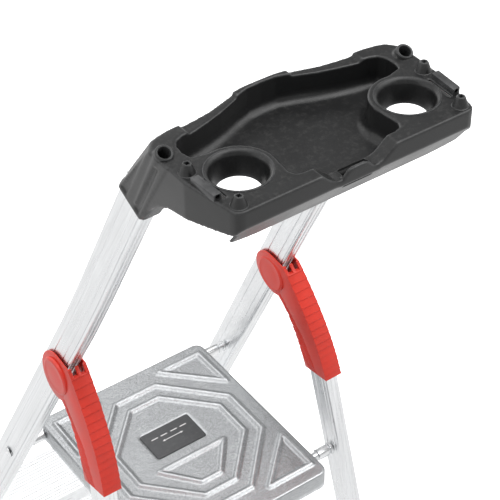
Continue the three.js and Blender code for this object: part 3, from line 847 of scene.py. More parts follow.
def build_hinge_caps():
    sizes = bpy.context.scene.ladder_sizes
    rail = level_section("front_rail_right", PIVOT_Z)
    half = (rail[1].x - rail[0].x) / 2 / MM + 3.1
    room = half - CAP_SHEET
    shell = prism([at(-half, y, z) for y, z in cap_outline(sizes.cap_steps)], (2 * half * MM, 0, 0))
    hollow = prism([at(-room, y, z) for y, z in cap_hollow()], (2 * room * MM, 0, 0))
    tools = [hollow]
    # Slanting grooves on both sides, below the disc.
    for i in range(sizes.cap_grooves):
        z = PIVOT_Z - 27 - i * 9.5
        y = PIVOT_Y + 14 + i * 5.2
        for x0 in (-half - 1, half - 0.75):
            steep = [(y, z + 5), (y + 2.1, z + 5), (y + 44.1, z - 37), (y + 42, z - 37)]
            tools.append(prism([at(x0, a, b) for a, b in steep], (1.75 * MM, 0, 0)))
    # Square pockets in the top of the back.
    for x in (-4.6, 4.6):
        pocket = [(PIVOT_Y + 10, PIVOT_Z + 20), (PIVOT_Y + 40, PIVOT_Z + 18), (PIVOT_Y + 46, PIVOT_Z + 30)]
        pocket += [(PIVOT_Y + 10, PIVOT_Z + 45)]
        tools.append(prism([at(x - 2.7, a, b) for a, b in pocket], (5.4 * MM, 0, 0)))
    round_off = (
        "BEVEL",
        {"width": 0.3 * MM, "segments": 2, "limit_method": "ANGLE", "angle_limit": math.radians(35)}
    )
    bm = worked(shell, tools, modifiers=[round_off])
    for v in bm.verts:
        v.co.x += cap_middle(v.co.z / MM) * MM
    disc = [(half - 1.2, 0), (half - 1.2, 22.5), (half + 0.7, 22.5), (half + 1.6, 22), (half + 2.2, 20.6)]
    disc += [(half + 2.5, 19.6), (half + 2.4, 19.2), (half + 2.7, 12), (half + 3.2, 0)]
    for side, sign in SIDES.items():
        copy = bm.copy()
        finish_piece(
            "hinge_cap_" + side + "_shell", on_side(copy, sign), "rear_legs", finish("red"),
            ["hinge_cap_" + side], smooth=35,
        )
        for face, way in (("outer", 1), ("inner", -1)):
            profile = [(way * a, r) for a, r in disc]
            plate = turned(profile, at(cap_middle(PIVOT_Z), PIVOT_Y, PIVOT_Z), steps=64)
            finish_piece(
                "hinge_disc_" + side + "_" + face, on_side(plate, sign), "rear_legs",
                finish("red"),
                smooth=30,
            )
    bm.free()


# ---- platform ----


def bead_paths():
    """The platform's pressed beads, as closed plan outlines in millimetres."""
    octagon = [(21, 54), (74, 109), (74, 161), (21, 217), (-21, 217), (-74, 161), (-74, 109), (-21, 54)]
    outer = [(29, 34), (93, 102), (93, 170), (29, 238), (-29, 238), (-93, 170), (-93, 102), (-29, 34)]
    front = [(104, 18), (105, 78), (45, 18)]
    rear = [(106, 192), (106, 250), (46, 250)]
    panel = [(46, 157), (13, 198), (-13, 198), (-46, 157)]
    paths = [octagon, outer, panel]
    for corner in (front, rear):
        paths += [corner, [(-x, y) for x, y in corner]]
    return paths


def stretch_distance(point, a, b):
    along = b - a
    share = max(0, min(1, (point - a).dot(along) / along.length_squared))
    return (point - a - along * share).length


def round_rect_gap(x, y, half_x, half_y, radius):
    """How far a plan point lies outside a rounded rectangle, and the way out."""
    qx, qy = abs(x) - half_x + radius, abs(y) - half_y + radius
    if qx > 0 and qy > 0:
        length = math.hypot(qx, qy)
        way = Vector((math.copysign(qx, x), math.copysign(qy, y), 0)) / length
        return length - radius, way
    if qx > qy:
        return qx - radius, Vector((math.copysign(1, x), 0, 0))
    return qy - radius, Vector((0, math.copysign(1, y), 0))


def platform_sheet():
    """The pressed sheet: a fine grid with round corners, a folded edge and raised beads."""
    sizes = bpy.context.scene.ladder_sizes
    fold, pitch, thick = 3.0 * MM, 1.55 * MM, 1.6 * MM
    half = (PLATE_HIGH - PLATE_LOW) / 2
    middle = (PLATE_HIGH + PLATE_LOW) / 2
    radius = 12 * MM - fold
    inner_x, inner_y = half.x - fold, half.y - fold
    bm = bmesh.new()
    cells = [round(2 * inner_x / pitch), round(2 * inner_y / pitch)]
    bmesh.ops.create_grid(bm, x_segments=cells[0], y_segments=cells[1], size=0.5)
    bmesh.ops.scale(bm, vec=(2 * inner_x, 2 * inner_y, 1), verts=bm.verts[:])
    outside = [
        v for v in bm.verts if round_rect_gap(v.co.x, v.co.y, inner_x, inner_y, radius)[0] > pitch * 0.45
    ]
    bmesh.ops.delete(bm, geom=outside, context="VERTS")
    for v in [v for v in bm.verts if v.is_boundary]:
        gap, way = round_rect_gap(v.co.x, v.co.y, inner_x, inner_y, radius)
        v.co -= way * gap
    rim = [e for e in bm.edges if e.is_boundary]
    turns = [math.radians(a) for a in (18, 36, 54, 72, 90)]
    folds = [(fold * math.sin(t), fold * (1 - math.cos(t))) for t in turns]
    flange = half.z * 2
    folds += [(fold, flange * 0.4), (fold, flange * 0.7), (fold, flange - 1.2 * MM)]
    done = (0, 0)
    for out, down in folds:
        grown = bmesh.ops.extrude_edge_only(bm, edges=rim)["geom"]
        for v in corners_of(grown):
            way = round_rect_gap(v.co.x, v.co.y, inner_x, inner_y, radius)[1]
            v.co += way * (out - done[0]) - Vector((0, 0, down - done[1]))
        rim = [e for e in grown if isinstance(e, bmesh.types.BMEdge)]
        done = (out, down)
    lines = []
    for path in bead_paths():
        points = [Vector((x * MM, y * MM + FRONT_Y - middle.y)) for x, y in path]
        lines += list(zip(points, points[1:] + points[:1]))
    label_low, label_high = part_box("platform_label")
    for v in bm.verts:
        if v.co.z < -0.1 * MM:
            continue
        here = Vector((v.co.x, v.co.y))
        gap = min(stretch_distance(here, a, b) for a, b in lines)
        if gap < sizes.bead_half:
            v.co.z += sizes.bead_high * (0.5 + 0.5 * math.cos(math.pi * gap / sizes.bead_half)) ** 0.85
        label_y = (label_low.y + label_high.y) / 2 - middle.y
        seat, way = round_rect_gap(
            here.x, here.y - label_y, label_high.x, (label_high.y - label_low.y) / 2, 3 * MM
        )
        if seat < 2 * MM:
            v.co.z -= 1.1 * MM * min(1, (2 * MM - seat) / (2 * MM))
    bmesh.ops.translate(bm, vec=(middle.x, middle.y, PLATE_HIGH.z), verts=bm.verts[:])
    bmesh.ops.recalc_face_normals(bm, faces=bm.faces[:])
    upper = max(bm.faces, key=lambda f: f.calc_center_median().z)
    if upper.normal.z < 0:
        bmesh.ops.reverse_faces(bm, faces=bm.faces[:])
    bmesh.ops.solidify(bm, geom=bm.faces[:], thickness=thick)
    return bm


def rod_slot(low_x, high_x):
    """The open slot that lifts off the rear rod."""
    low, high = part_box("rear_rod")
    y, z = ((low.y + high.y) / 2 - FRONT_Y) / MM, (low.z + high.z) / 2 / MM
    r = (high.z - low.z) / 2 / MM + 0.5
    foot = PLATFORM_TOP - 40
    points = [(y - r - 0.9 * (z - foot), foot), (y + r, foot), (y + r, z)]
    points += arc_points((y, z), r, 0, math.pi, 12)[1:]
    return prism([at(low_x, a, b) for a, b in points], ((high_x - low_x) * MM, 0, 0))


def build_platform():
    edge = PLATE_HIGH.x / MM
    axle_low, axle_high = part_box("platform_axle")
    axle_at = (axle_low + axle_high) / 2
    hole = turned(
        [(-150, 0), (-150, 4.6), (150, 4.6), (150, 0)], Vector((0, axle_at.y, axle_at.z)), steps=24
    )
    tools = [rod_slot(-edge - 5, -edge + 6), rod_slot(edge - 6, edge + 5), hole]
    bm = worked(platform_sheet(), tools)
    finish_piece(
        "platform_sheet", bm, "platform", finish("zinc"), ["platform_plate"], smooth=50
    )
    label_low, label_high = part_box("platform_label")
    top = PLATE_HIGH.z
    plate = block((label_low.x, label_low.y, top - 1.1 * MM), (label_high.x, label_high.y, top - 0.1 * MM))
    upright_edges = [e for e in plate.edges if abs(e.verts[0].co.z - e.verts[1].co.z) > 0.5 * MM]
    soften(plate, 2.5 * MM, 4, edges=upright_edges)
    soften(plate, 0.35 * MM, 2, limit=60)
    finish_piece(
        "label_plate", plate, "platform", finish("label"), ["platform_label"], smooth=40
    )
    build_label_mark(top - 0.1 * MM)
    for side in SIDES:
        saddle = cad_copy("platform_saddle_" + side)
        soften(saddle, 0.7 * MM, 2)
        finish_piece(
            "saddle_" + side, saddle, "platform", finish("tray"), ["platform_saddle_" + side]
        )


def build_label_mark(top):
    """A plain arrow and two bars on the label, which say nothing."""
    y = (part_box("platform_label")[0].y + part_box("platform_label")[1].y) / 2
    shapes = [[(-11, -0.5), (11, -0.5), (11, 0.5), (-11, 0.5)], [(-11, -1.7), (-14.5, 0), (-11, 1.7)]]
    shapes += [[(14.5, 0), (11, 1.7), (11, -1.7)]]
    shapes += [[(x, -9), (x + 9, -9), (x + 9, -7.6), (x, -7.6)] for x in (-24, -11, 3, 16)]
    mark = bmesh.new()
    for shape in shapes:
        solid = prism([Vector((a * MM, y + b * MM, top)) for a, b in shape], (0, 0, 0.25 * MM))
        mesh = bpy.data.meshes.new("shape")
        solid.to_mesh(mesh)
        solid.free()
        mark.from_mesh(mesh)
        bpy.data.meshes.remove(mesh)
    finish_piece("label_arrow", mark, "platform", finish("mark"))


# ---- tray ----

HOLE_AT = (90, 392.5)
HOLE_DEEP = 22
RAIL_RISE = 0.504
SOCKET_AT = (129.5, 339.5)


def tray_half(g):
    """Half of the tray's plan, from the middle of the front to the middle of the rear, grown by g."""
    return [
        (0, 294.5 - g),
        (14, 294.7 - g),
        (26, 296 - g),
        (40, 300 - g),
        (60, 306 - g),
        (82, 309.3 - g),
        (104, 310.5 - g),
        (119, 312.8 - g),
        (128 + g * 0.5, 316.4 - g * 0.8),
        (133.5 + g * 0.8, 323 - g * 0.5),
        (136 + g, 333),
        (136 + g, 380),
        (129.5 + g, 419),
        (127 + g, 433),
        (125.6 + g * 0.9, 437.6 + g * 0.4),
        (123 + g * 0.6, 440.3 + g * 0.8),
        (118.5 + g * 0.2, REAR + g),
        (0, REAR + g),
    ]


def pocket_half(g):
    """Half of the pocket's plan: bowed at the front, curved round the holes, narrower at the rear."""
    points = [(0, 299 - g), (16, 300 - g), (33, 305.5 - g), (52, 313 - g), (70, 318.5 - g), (86, 322.5 - g)]
    points += [(102, 325.5 - g), (109 + g * 0.5, 328.5 - g * 0.8), (113 + g, 335), (114 + g, 345)]
    points += [(112 + g * 0.7, 354 + g * 0.6)]
    points += arc_points(HOLE_AT, 35 - g, math.radians(-80), math.radians(-176), 8)
    return points + [(58 + g, 418), (55 + g * 0.7, 424 + g * 0.8), (48, 426 + g), (0, 426 + g)]


def whole(half):
    """The full plan from one half."""
    return half + [(-x, y) for x, y in reversed(half[1:-1])]


def plan_solid(points, z0, z1):
    return prism([on_deck(x, y, z0) for x, y in points], (0, 0, (z1 - z0) * MM))


def side_solid(points, x0, x1):
    """A solid from a side view of (y, z), between two x places."""
    return prism([on_deck(x0, y, z) for y, z in points], ((x1 - x0) * MM, 0, 0))


def front_solid(points, y0, y1):
    """A solid from a front view of (x, z), between two y places."""
    return prism([on_deck(x, y0, z) for x, z in points], (0, (y1 - y0) * MM, 0))


def tub(g, floor, top, fillet):
    """The pocket's shape, with a wide fillet round its floor."""
    bm = plan_solid(whole(pocket_half(g)), floor, top)
    low = on_deck(0, 0, floor).z
    edges = [e for e in bm.edges if all(abs(v.co.z - low) < MM for v in e.verts)]
    return soften(bm, fillet * MM, 6, edges=edges)


def cup(wall):
    """A tool hole's cone; its outside when it has a wall."""
    above = 0 if wall else 3
    foot = -HOLE_DEEP - above
    profile = [(foot, 0), (foot, 20.3 + wall), (-HOLE_DEEP + 3, 20.9 + wall), (-9, 23.9 + wall)]
    profile += [
        (-5, 25 + wall), (-2.4, 26.3 + wall), (-0.9, 27.6 + wall), (0, 29.6), (above, 29.6), (above, 0)
    ]
    if wall:
        profile = profile[:5] + [(-2, 32), (0, 32), (0, 0)]
    return turned(profile, on_deck(*HOLE_AT, 0), "Z", 48)


def in_socket(bm):
    """Sets a turned shape into the socket in the deck, along the rail's direction."""
    lean = Matrix.Rotation(-math.atan(RAIL_RISE), 4, "X")
    place = Matrix.Translation(on_deck(*SOCKET_AT, 0))
    bmesh.ops.transform(bm, matrix=place @ lean, verts=bm.verts[:])
    return bm


def socket_rod(r, start, end):
    """A rod along the rail's direction, through the socket in the deck."""
    return in_socket(turned([(start, 0), (start, r), (end, r), (end, 0)], Vector((0, 0, 0)), "Z", 28))


def rail_bore():
    """The room for a rail's end inside its sleeve."""
    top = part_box("front_rail_right")[1].z / MM
    low, high = level_section("front_rail_right", top - 60)
    upper = level_section("front_rail_right", top - 1)
    grow = Vector((0.35, 0.35, 0)) * MM
    a, b = low - grow, high + grow
    bm = block((a.x, a.y, (top - 60) * MM), (b.x, b.y, (top + 0.4) * MM))
    slope = (upper[0] - low) / (59 * MM)
    for v in bm.verts:
        rise = v.co.z - (top - 60) * MM
        v.co += Vector((slope.x, slope.y, 0)) * rise
    low_face = [v for v in bm.verts if v.co.z < (top - 59) * MM]
    for v in low_face:
        v.co -= Vector((slope.x, slope.y, 1)) * 40 * MM
    return bm


SLEEVE_FRONT = -70
SLEEVE_GROWN = 3.4


def sleeve():
    """The sleeve over a rail's end: from the rail's section, square to the rail, up to the deck's corner."""
    low, high = level_section("front_rail_right", DECK + SLEEVE_FRONT)
    x, y = high.x / MM + SLEEVE_GROWN, (low.y - FRONT_Y) / MM - 2.6
    wide, depth = 21.4, (high.y - low.y) / MM + 5.2
    level = 1 / (1 + RAIL_RISE**2)
    foot = [(0, 4), (-4, 0), (-wide, 0), (-wide, depth), (-4, depth), (0, depth - 4)]
    head = [(137, 328), (127, 316), (106, 311), (106, 364), (128, 364), (137, 356)]
    bm = bmesh.new()
    lower = [
        bm.verts.new(on_deck(x + a, y + b * level, SLEEVE_FRONT - b * level * RAIL_RISE)) for a, b in foot
    ]
    upper = [bm.verts.new(on_deck(a, b, -0.2)) for a, b in head]
    rims = [[bm.edges.new((ring[i], ring[(i + 1) % 6])) for i in range(6)] for ring in (lower, upper)]
    bmesh.ops.bridge_loops(bm, edges=rims[0] + rims[1])
    for ring in (lower, upper):
        bm.faces.new(ring)
    bmesh.ops.recalc_face_normals(bm, faces=bm.faces[:])
    return bm


def tray_solids():
    """What is joined into the tray, and what is cut from it, for the right-hand side where there are two."""
    skirt, band, lean_y = 48, 18, REAR - 21
    base = plan_solid(whole(tray_half(0)), -skirt, 0)
    slant = [
        (REAR + 2, -skirt - 2), (REAR + 2, -band), (REAR, -band), (lean_y, -skirt - 0.1),
        (lean_y, -skirt - 2)
    ]
    rear_wall = [(lean_y - 3.4, -skirt), (lean_y, -skirt), (REAR, -band), (REAR, -1), (REAR - 14, -1)]
    rear_wall += [(REAR - 14, -band - 5)]
    inner_slant = [
        (REAR + 2, -skirt - 6), (REAR + 2, -band), (REAR - 3.6, -band), (lean_y - 7.8, -skirt - 6)
    ]
    room = worked(plan_solid(whole(tray_half(-3.2)), -skirt - 3, -3.4), [side_solid(inner_slant, -180, 180)])
    first_cuts = [side_solid(slant, -170, 170), room]
    rise = [
        (349, -70), (349, -46.5), (364, -43), (380, -39.5), (408, -33), (430, -27.5), (446, -22), (446, -70)
    ]
    corner = [(150, -10), (137, -25), (130, -34), (122, -41), (110, -45), (96, -47.5), (90, -49), (90, -70)]
    corner += [(150, -70)]
    joins = [side_solid(rear_wall, -60, 60), tub(3.2, -33.5, -1, 11)]
    rim_bed = plan_solid([(30, 298.5), (60, 307.5), (104, 312), (104, 330), (70, 325), (30, 310)], -10, -1)
    arch = [
        (306, -88), (313, -80), (319, -70), (326, -62.5), (335, -55), (345, -49.5), (356, -46), (356, -20)
    ]
    web = side_solid(arch + [(325, -20)], 131.6, 136)
    paired_joins = [cup(2.6), sleeve(), socket_rod(8.6, -82, 1.5), rim_bed, web]
    cuts = [tub(0, -30, 20, 12), front_solid(NOTCH, 423, REAR + 5)]
    paired_cuts = [side_solid(rise, 122, 170), front_solid(corner, 409, 450), cup(0), rail_bore()]
    paired_cuts += [
        socket_rod(5.7, -42, 30), front_solid([(26.5, 3), (31, -3.2), (93, -3.2), (97, 3)], 285, 325)
    ]
    front_panel = [(277, -67.5), (286, -72), (322, -8), (320, -8)]
    rear_panel = [(298, -78.5), (305, -82), (342, -11), (337, -9)]
    for panel in (front_panel, rear_panel):
        paired_cuts.append(side_solid(panel, 135.6, 150))
    paired_cuts.append(plan_solid([(119.5, 384), (122.8, 384), (121.3, 416), (118, 416)], -4, 3))
    return base, first_cuts, joins, paired_joins, cuts, paired_cuts


NOTCH = [(-44, 2), (-38, -1), (-32, -6), (-25, -11.5), (-18, -13.5)]
NOTCH += [(18, -13.5), (25, -12), (31, -8), (38, -1.5), (43, 2)]


def hook_parts():
    """The tongue in the rear notch, and the slot behind it."""
    tongue = [(-22, -20), (-15, -12.5), (-9, -6.6), (-4, -4.9), (6, -5), (11, -6), (17, -11), (22, -20)]
    slot = [(-15, -25), (15, -25), (15, 2), (-15, 2)]
    return front_solid(tongue, REAR - 3.4, REAR), front_solid(slot, 427.6, 438.1)


def both_sides(shapes):
    return [copy for bm in shapes for copy in (bm, mirrored(bm))]


def build_tray():
    cell = bpy.context.scene.ladder_sizes.tray_cell
    base, first_cuts, joins, paired_joins, cuts, paired_cuts = tray_solids()
    shell = worked(base, first_cuts)
    tongue, slot = hook_parts()
    shell = worked(shell, joins=joins + both_sides(paired_joins))
    shell = worked(shell, cuts + both_sides(paired_cuts))
    shell = worked(shell, [slot], [tongue])
    shape = [
        ("REMESH", {"mode": "VOXEL", "voxel_size": cell, "use_smooth_shade": True}),
        ("SMOOTH", {"factor": 0.5, "iterations": 3}),
        ("DECIMATE", {"ratio": 0.62}),
    ]
    bm = worked(shell, modifiers=shape)
    finish_piece("tray_shell", bm, "front_frame", finish("tray"), ["tray"], smooth=60)


def build_tray_fittings():
    """The tray's small crisp things: rims, rings, hollow bosses, side clips and the hook's tip."""
    low = -HOLE_DEEP
    lip = [
        (low, 20.2), (low + 3, 20.7), (-9, 23.7), (-5, 24.7), (-3, 25.3), (-1.6, 26.2), (-0.5, 27.3),
        (0.2, 28.4)
    ]
    lip += [
        (0.5, 29.3), (0.3, 30.1), (-0.8, 30.4), (-3, 28.5), (-5, 26.2), (-9, 24.9), (low + 3, 21.9),
        (low, 21.4)
    ]
    lip += [(low, 20.2)]
    ring = [
        (-36, 5.5), (4.0, 5.5), (4.8, 5.9), (5.1, 6.7), (4.8, 7.6), (4.1, 8.1), (3, 8.3), (-6, 8.4),
        (-6, 6.5)
    ]
    ring += [(-36, 6.5), (-36, 5.5)]
    cone = [
        (-1, 0), (-1, 8.1), (0.3, 7.9), (0.7, 7.3), (1.2, 7.1), (8.9, 4.3), (9.6, 3.9), (9.9, 3.4),
        (9.95, 0)
    ]
    clip_low, clip_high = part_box("tray_clip_right")
    for side, sign in SIDES.items():
        rim = turned(lip, on_deck(*HOLE_AT, 0), "Z", 72)
        finish_piece(
            "tool_hole_rim_" + side, on_side(rim, sign), "front_frame", finish("tray")
        )
        collar = in_socket(turned(ring, Vector((0, 0, 0)), "Z", 40))
        finish_piece(
            "socket_ring_" + side, on_side(collar, sign), "front_frame", finish("tray")
        )
        for number, (x, y) in enumerate(((126.5, 371), (117, 431)), 1):
            square = block(on_deck(x - 2, y - 2, 3), on_deck(x + 2, y + 2, 14))
            boss = worked(turned(cone, on_deck(x, y, 0), "Z", 32), [square])
            name = "boss_" + str(number) + "_" + side
            finish_piece(name, on_side(boss, sign), "front_frame", finish("tray"), smooth=30)
        clip = block((clip_low.x, clip_low.y, clip_low.z - 1.5 * MM), clip_high)
        soften(clip, 0.7 * MM, 2)
        middle = (clip_low + clip_high) / 2
        hole = turned(
            [(-6, 0), (-6, 1.9), (4, 1.9), (4, 0)], Vector((middle.x, clip_high.y, middle.z)), "Y", 20
        )
        clip = worked(clip, [hole])
        skew = (-1.9 * MM) / (clip_high.y - clip_low.y)
        for v in clip.verts:
            v.co.x += skew * (v.co.y - clip_low.y)
        finish_piece(
            "clip_" + side, on_side(clip, sign), "front_frame",
            finish("tray"), ["tray_clip_" + side],
            smooth=30,
        )
    tip = cad_copy("tray_hook")
    soften(tip, 0.8 * MM, 2)
    finish_piece("hook_tongue", tip, "front_frame", finish("tray"), ["tray_hook"])


# ---- rods, rivets, braces and feet ----


def build_rods():
    """The platform's front axle and rear rod, turned with collars, and the axle's sleeves."""
    for name, body, r, collar in (
        ("platform_axle", "front_frame", 4.0, 9), ("rear_rod", "rear_legs", 5.0, 22)
    ):
        low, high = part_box(name)
        half = (high.x - low.x) / 2 / MM
        ends = [(half, 0), (half, r - 0.6), (half - 0.6, r), (half - 2, r), (half - 2.2, r + 2.4)]
        ends += [(half - 3.6, r + 2.8), (half - 5.2, r + 2.6), (half - 5.6, r + 0.4), (half - 7.4, r + 0.4)]
        if name == "rear_rod":
            ends += [
                (half - 7.8, r + 1.8), (half - 9, r + 2.2), (half - collar, r + 2.0),
                (half - collar - 0.6, r)
            ]
        else:
            ends += [(half - 7.8, r)]
        profile = [(-a, rr) for a, rr in ends] + [(a, rr) for a, rr in reversed(ends)]
        middle = Vector((0, (low.y + high.y) / 2, (low.z + high.z) / 2))
        finish_piece(
            name + "_turned", turned(profile, middle, steps=32), body, finish("bright"),
            [name]
        )
    for side, sign in SIDES.items():
        low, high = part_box("axle_sleeve_right")
        length = (high.x - low.x) / MM / 2
        tube = [(-length, 4.4), (-length, 6.2), (-length + 0.8, 7), (length - 3, 7), (length - 2.6, 6.2)]
        tube += [
            (length - 1.6, 6.2), (length - 1.2, 7), (length - 0.4, 7), (length, 6.4), (length, 4.4),
            (-length, 4.4)
        ]
        bm = turned(tube, (low + high) / 2, steps=32)
        finish_piece(
            "axle_sleeve_" + side + "_turned", on_side(bm, sign), "front_frame",
            finish("bright"),
            ["axle_sleeve_" + side],
        )


def build_rivets():
    """Domed heads for every rivet and rod end."""
    for name in sorted(frame["nodes"]):
        if "rivet" not in name and "_head_" not in name:
            continue
        low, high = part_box(name)
        right = low.x > 0
        r, tall = (high.y - low.y) / 2 / MM, (high.x - low.x) / MM
        dome = [(0, 0), (0, r * 0.92), (0.15 * tall, r), (0.3 * tall, r * 0.98), (0.62 * tall, r * 0.8)]
        dome += [(0.85 * tall, r * 0.52), (0.97 * tall, r * 0.22), (tall, 0)]
        foot = Vector((low.x if right else -high.x, (low.y + high.y) / 2, (low.z + high.z) / 2))
        bm = on_side(turned(dome, foot, steps=28), 1 if right else -1)
        body = "rear_legs" if frame["nodes"][name]["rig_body"] == "rear_legs" else "front_frame"
        finish_piece(name + "_dome", bm, body, finish("bright"), [name], smooth=50)


def build_braces():
    """Pressed channels and struts with eased edges, and the hinge pins."""
    for name in ("rear_brace_1", "rear_brace_2", "tread_strut_right", "tread_strut_left"):
        body = "rear_legs" if name.startswith("rear") else "front_frame"
        bm = soften(cad_copy(name), 0.5 * MM, 2)
        finish_piece(name + "_pressed", bm, body, finish("brace"), [name])
    for side in SIDES:
        pin = frame["nodes"]["hinge_pivot_" + side]
        pin.data.materials.clear()
        pin.data.materials.append(finish("bright"))


def build_feet():
    """Rubber shoes with eased edges and ribbed sides."""
    for name, body, bar in (
        ("front_foot", "front_frame", "front_rail_right"),
        ("rear_foot", "rear_legs", "rear_leg_right"),
    ):
        for side, sign in SIDES.items():
            shoe = cad_copy(name + "_right")
            soften(shoe, 0.8 * MM, 2)
            finish_piece(
                name + "_" + side + "_shoe", on_side(shoe, sign), body, finish("rubber"),
                [name + "_" + side],
            )
            for rib in range(4):
                z = 14 + rib * 6
                a, b = level_section(name + "_right", z)
                out, half = 0.7 * MM, 1.2
                ring = block(
                    (a.x - out, a.y - out, (z - half) * MM), (b.x + out, b.y + out, (z + half) * MM)
                )
                upright_edges = [e for e in ring.edges if abs(e.verts[0].co.z - e.verts[1].co.z) > MM]
                soften(ring, 3 * MM, 3, edges=upright_edges)
                soften(ring, 0.5 * MM, 2, limit=60)
                inner = level_section(bar, z)
                grow = Vector((0.6, 0.6, 0)) * MM
                c, d = inner[0] - grow, inner[1] + grow
                hollow = block((c.x, c.y, (z - 4) * MM), (d.x, d.y, (z + 4) * MM))
                finish_piece(
                    name + "_" + side + "_rib_" + str(rib + 1), on_side(worked(ring, [hollow]), sign), body,
                    finish("rubber"),
                )


# ---- studio ----


def look_from(eye, target, roll):
    """The placing of a camera at eye that looks at target, rolled a little."""
    ahead = (target - eye).normalized()
    right = ahead.cross(Vector((0, 0, 1))).normalized()
    up = right.cross(ahead)
    across = right * math.cos(roll) + up * math.sin(roll)
    over = up * math.cos(roll) - right * math.sin(roll)
    placing = Matrix((across, over, -ahead)).transposed().to_4x4()
    placing.translation = eye
    return placing


def build_stage():
    light = bpy.context.scene.ladder_light
    scene = bpy.context.scene
    camera = bpy.data.objects.new("studio_camera", bpy.data.cameras.new("studio_camera"))
    scene.collection.objects.link(camera)
    scene.camera = camera
    camera.matrix_world = look_from(at(700.88, 1270.82, 2296.42), at(-74.2, 150, 1157.8), -0.017)
    camera.data.sensor_width = 36
    camera.data.lens = 117.37
    camera.data.shift_x = 0.027
    camera.data.shift_y = -0.0048
    camera.data.clip_end = 60

    floor_mesh = bmesh.new()
    bmesh.ops.create_grid(floor_mesh, x_segments=2, y_segments=2, size=12)
    floor = loose_object(floor_mesh, "studio_floor")
    material, tree, shader = blank_finish("Pale floor", Roughness=0.9)
    shader.inputs["Specular IOR Level"].default_value = 0.1
    place = node(tree, "ShaderNodeTexCoord").outputs["Object"]
    cloud = node(tree, "ShaderNodeTexNoise", {"Vector": place, "Scale": 1.3, "Detail": 3.0})
    seen = node(tree, "ShaderNodeLightPath").outputs["Is Camera Ray"]
    tone = mixed(tree, cloud.outputs["Fac"], (0.93, 0.93, 0.93, 1), (0.96, 0.96, 0.96, 1))
    tree.links.new(mixed(tree, seen, (0.30, 0.30, 0.30, 1), tone), shader.inputs["Base Color"])
    tree.links.new(tone, shader.inputs["Emission Color"])
    glossy = node(tree, "ShaderNodeLightPath").outputs["Is Glossy Ray"]
    glow = node(tree, "ShaderNodeMath", {0: seen, 1: glossy}, operation="ADD").outputs["Value"]
    tree.links.new(ranged(tree, glow, 0, 1, 0.0, 0.75), shader.inputs["Emission Strength"])
    floor.data.materials.append(material)

    world = bpy.data.worlds.new("Studio sky")
    world.use_nodes = True
    tree = world.node_tree
    background = tree.nodes["Background"]
    way = node(
        tree, "ShaderNodeSeparateXYZ", {"Vector": node(tree, "ShaderNodeTexCoord").outputs["Generated"]}
    )
    low = ranged(tree, way.outputs["Z"], 0.05, 0.45, 1.0, 0.42)
    high = ranged(tree, way.outputs["Z"], 0.76, 0.96, 0.0, 1.9)
    grey = node(tree, "ShaderNodeMath", {0: low, 1: high}, operation="ADD").outputs["Value"]
    seen = node(tree, "ShaderNodeLightPath").outputs["Is Camera Ray"]
    tree.links.new(mixed(tree, seen, grey, (1, 1, 1, 1)), background.inputs["Color"])
    background.inputs["Strength"].default_value = light.sky
    scene.world = world
    lamps = (
        ("key", light.key, at(-900, 900, 2700), 1.5),
        ("fill", light.fill, at(1500, -300, 2300), 1.8),
        ("back", light.fill, at(0, -1500, 2200), 1.6),
    )
    for name, power, eye, size in lamps:
        data = bpy.data.lights.new("studio_" + name, "AREA")
        data.energy = power
        data.size = size
        lamp = bpy.data.objects.new("studio_" + name, data)
        lamp.matrix_world = look_from(eye, at(0, 250, 1100), 0)
        scene.collection.objects.link(lamp)
    scene.view_settings.view_transform = "Standard"


# ---- operators and panel ----


class STEPLADDER_OT_stage(bpy.types.Operator):
    """Make the floor, the soft light and the camera"""

    bl_idname = "stepladder.stage"
    bl_label = "Studio"

    def execute(self, context):
        build_stage()
        return {"FINISHED"}


class STEPLADDER_OT_rails(bpy.types.Operator):
    """Make the bent front rails"""

    bl_idname = "stepladder.rails"
    bl_label = "Front rails"

    def execute(self, context):
        build_front_rails()
        return {"FINISHED"}


class STEPLADDER_OT_legs(bpy.types.Operator):
    """Make the rear legs"""

    bl_idname = "stepladder.legs"
    bl_label = "Rear legs"

    def execute(self, context):
        build_rear_legs()
        return {"FINISHED"}


class STEPLADDER_OT_treads(bpy.types.Operator):
    """Make the ribbed treads"""

    bl_idname = "stepladder.treads"
    bl_label = "Treads"

    def execute(self, context):
        build_treads()
        return {"FINISHED"}


class STEPLADDER_OT_caps(bpy.types.Operator):
    """Make the curved red caps with their discs"""

    bl_idname = "stepladder.caps"
    bl_label = "Hinge caps"

    def execute(self, context):
        build_hinge_caps()
        return {"FINISHED"}


class STEPLADDER_OT_platform(bpy.types.Operator):
    """Make the pressed platform, its label and saddles"""

    bl_idname = "stepladder.platform"
    bl_label = "Platform"

    def execute(self, context):
        build_platform()
        return {"FINISHED"}


class STEPLADDER_OT_tray(bpy.types.Operator):
    """Make the moulded tray"""

    bl_idname = "stepladder.tray"
    bl_label = "Tray"

    def execute(self, context):
        build_tray()
        return {"FINISHED"}


class STEPLADDER_OT_fittings(bpy.types.Operator):
    """Make the tray's rims, rings, bosses and clips"""

    bl_idname = "stepladder.fittings"
    bl_label = "Tray fittings"

    def execute(self, context):
        build_tray_fittings()
        return {"FINISHED"}


class STEPLADDER_OT_rods(bpy.types.Operator):
    """Make the axle, the rod and the sleeves"""

    bl_idname = "stepladder.rods"
    bl_label = "Rods"

    def execute(self, context):
        build_rods()
        return {"FINISHED"}


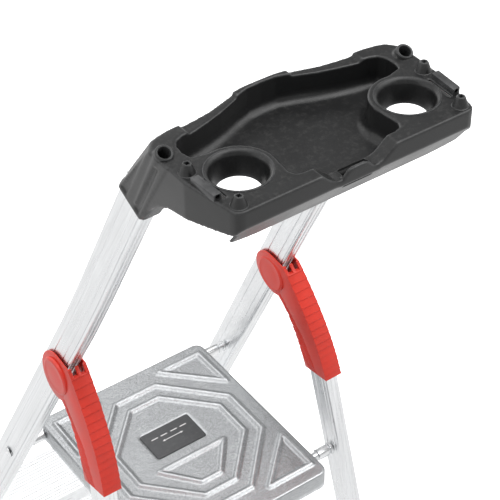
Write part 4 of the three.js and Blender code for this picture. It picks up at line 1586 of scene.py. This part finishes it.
class STEPLADDER_OT_rivets(bpy.types.Operator):
    """Make the domed rivet heads"""

    bl_idname = "stepladder.rivets"
    bl_label = "Rivets"

    def execute(self, context):
        build_rivets()
        return {"FINISHED"}


class STEPLADDER_OT_braces(bpy.types.Operator):
    """Make the braces, struts and pins"""

    bl_idname = "stepladder.braces"
    bl_label = "Braces"

    def execute(self, context):
        build_braces()
        return {"FINISHED"}


class STEPLADDER_OT_feet(bpy.types.Operator):
    """Make the rubber feet"""

    bl_idname = "stepladder.feet"
    bl_label = "Feet"

    def execute(self, context):
        build_feet()
        return {"FINISHED"}


OPERATORS = [
    STEPLADDER_OT_stage,
    STEPLADDER_OT_rails,
    STEPLADDER_OT_legs,
    STEPLADDER_OT_treads,
    STEPLADDER_OT_caps,
    STEPLADDER_OT_platform,
    STEPLADDER_OT_tray,
    STEPLADDER_OT_fittings,
    STEPLADDER_OT_rods,
    STEPLADDER_OT_rivets,
    STEPLADDER_OT_braces,
    STEPLADDER_OT_feet,
]


class STEPLADDER_PT_panel(bpy.types.Panel):
    """The ladder's building steps and sizes"""

    bl_label = "Step ladder"
    bl_idname = "STEPLADDER_PT_panel"
    bl_space_type = "VIEW_3D"
    bl_region_type = "UI"
    bl_category = "Step ladder"

    def draw(self, context):
        for operator in OPERATORS:
            self.layout.operator(operator.bl_idname)
        for group in (context.scene.ladder_sizes, context.scene.ladder_colours, context.scene.ladder_light):
            for name in group.__annotations__:
                self.layout.prop(group, name)


GROUPS = {"ladder_sizes": LadderSizes, "ladder_colours": LadderColours, "ladder_light": StudioLight}


def register():
    for kind in [*GROUPS.values(), *OPERATORS, STEPLADDER_PT_panel]:
        bpy.utils.register_class(kind)
    for name, kind in GROUPS.items():
        setattr(bpy.types.Scene, name, bpy.props.PointerProperty(type=kind))


def unregister():
    for name in GROUPS:
        delattr(bpy.types.Scene, name)
    for kind in reversed([*GROUPS.values(), *OPERATORS, STEPLADDER_PT_panel]):
        bpy.utils.unregister_class(kind)


def main():
    register()
    for operator in OPERATORS:
        getattr(bpy.ops.stepladder, operator.bl_idname.split(".")[1])()


if __name__ == "__main__":
    main()
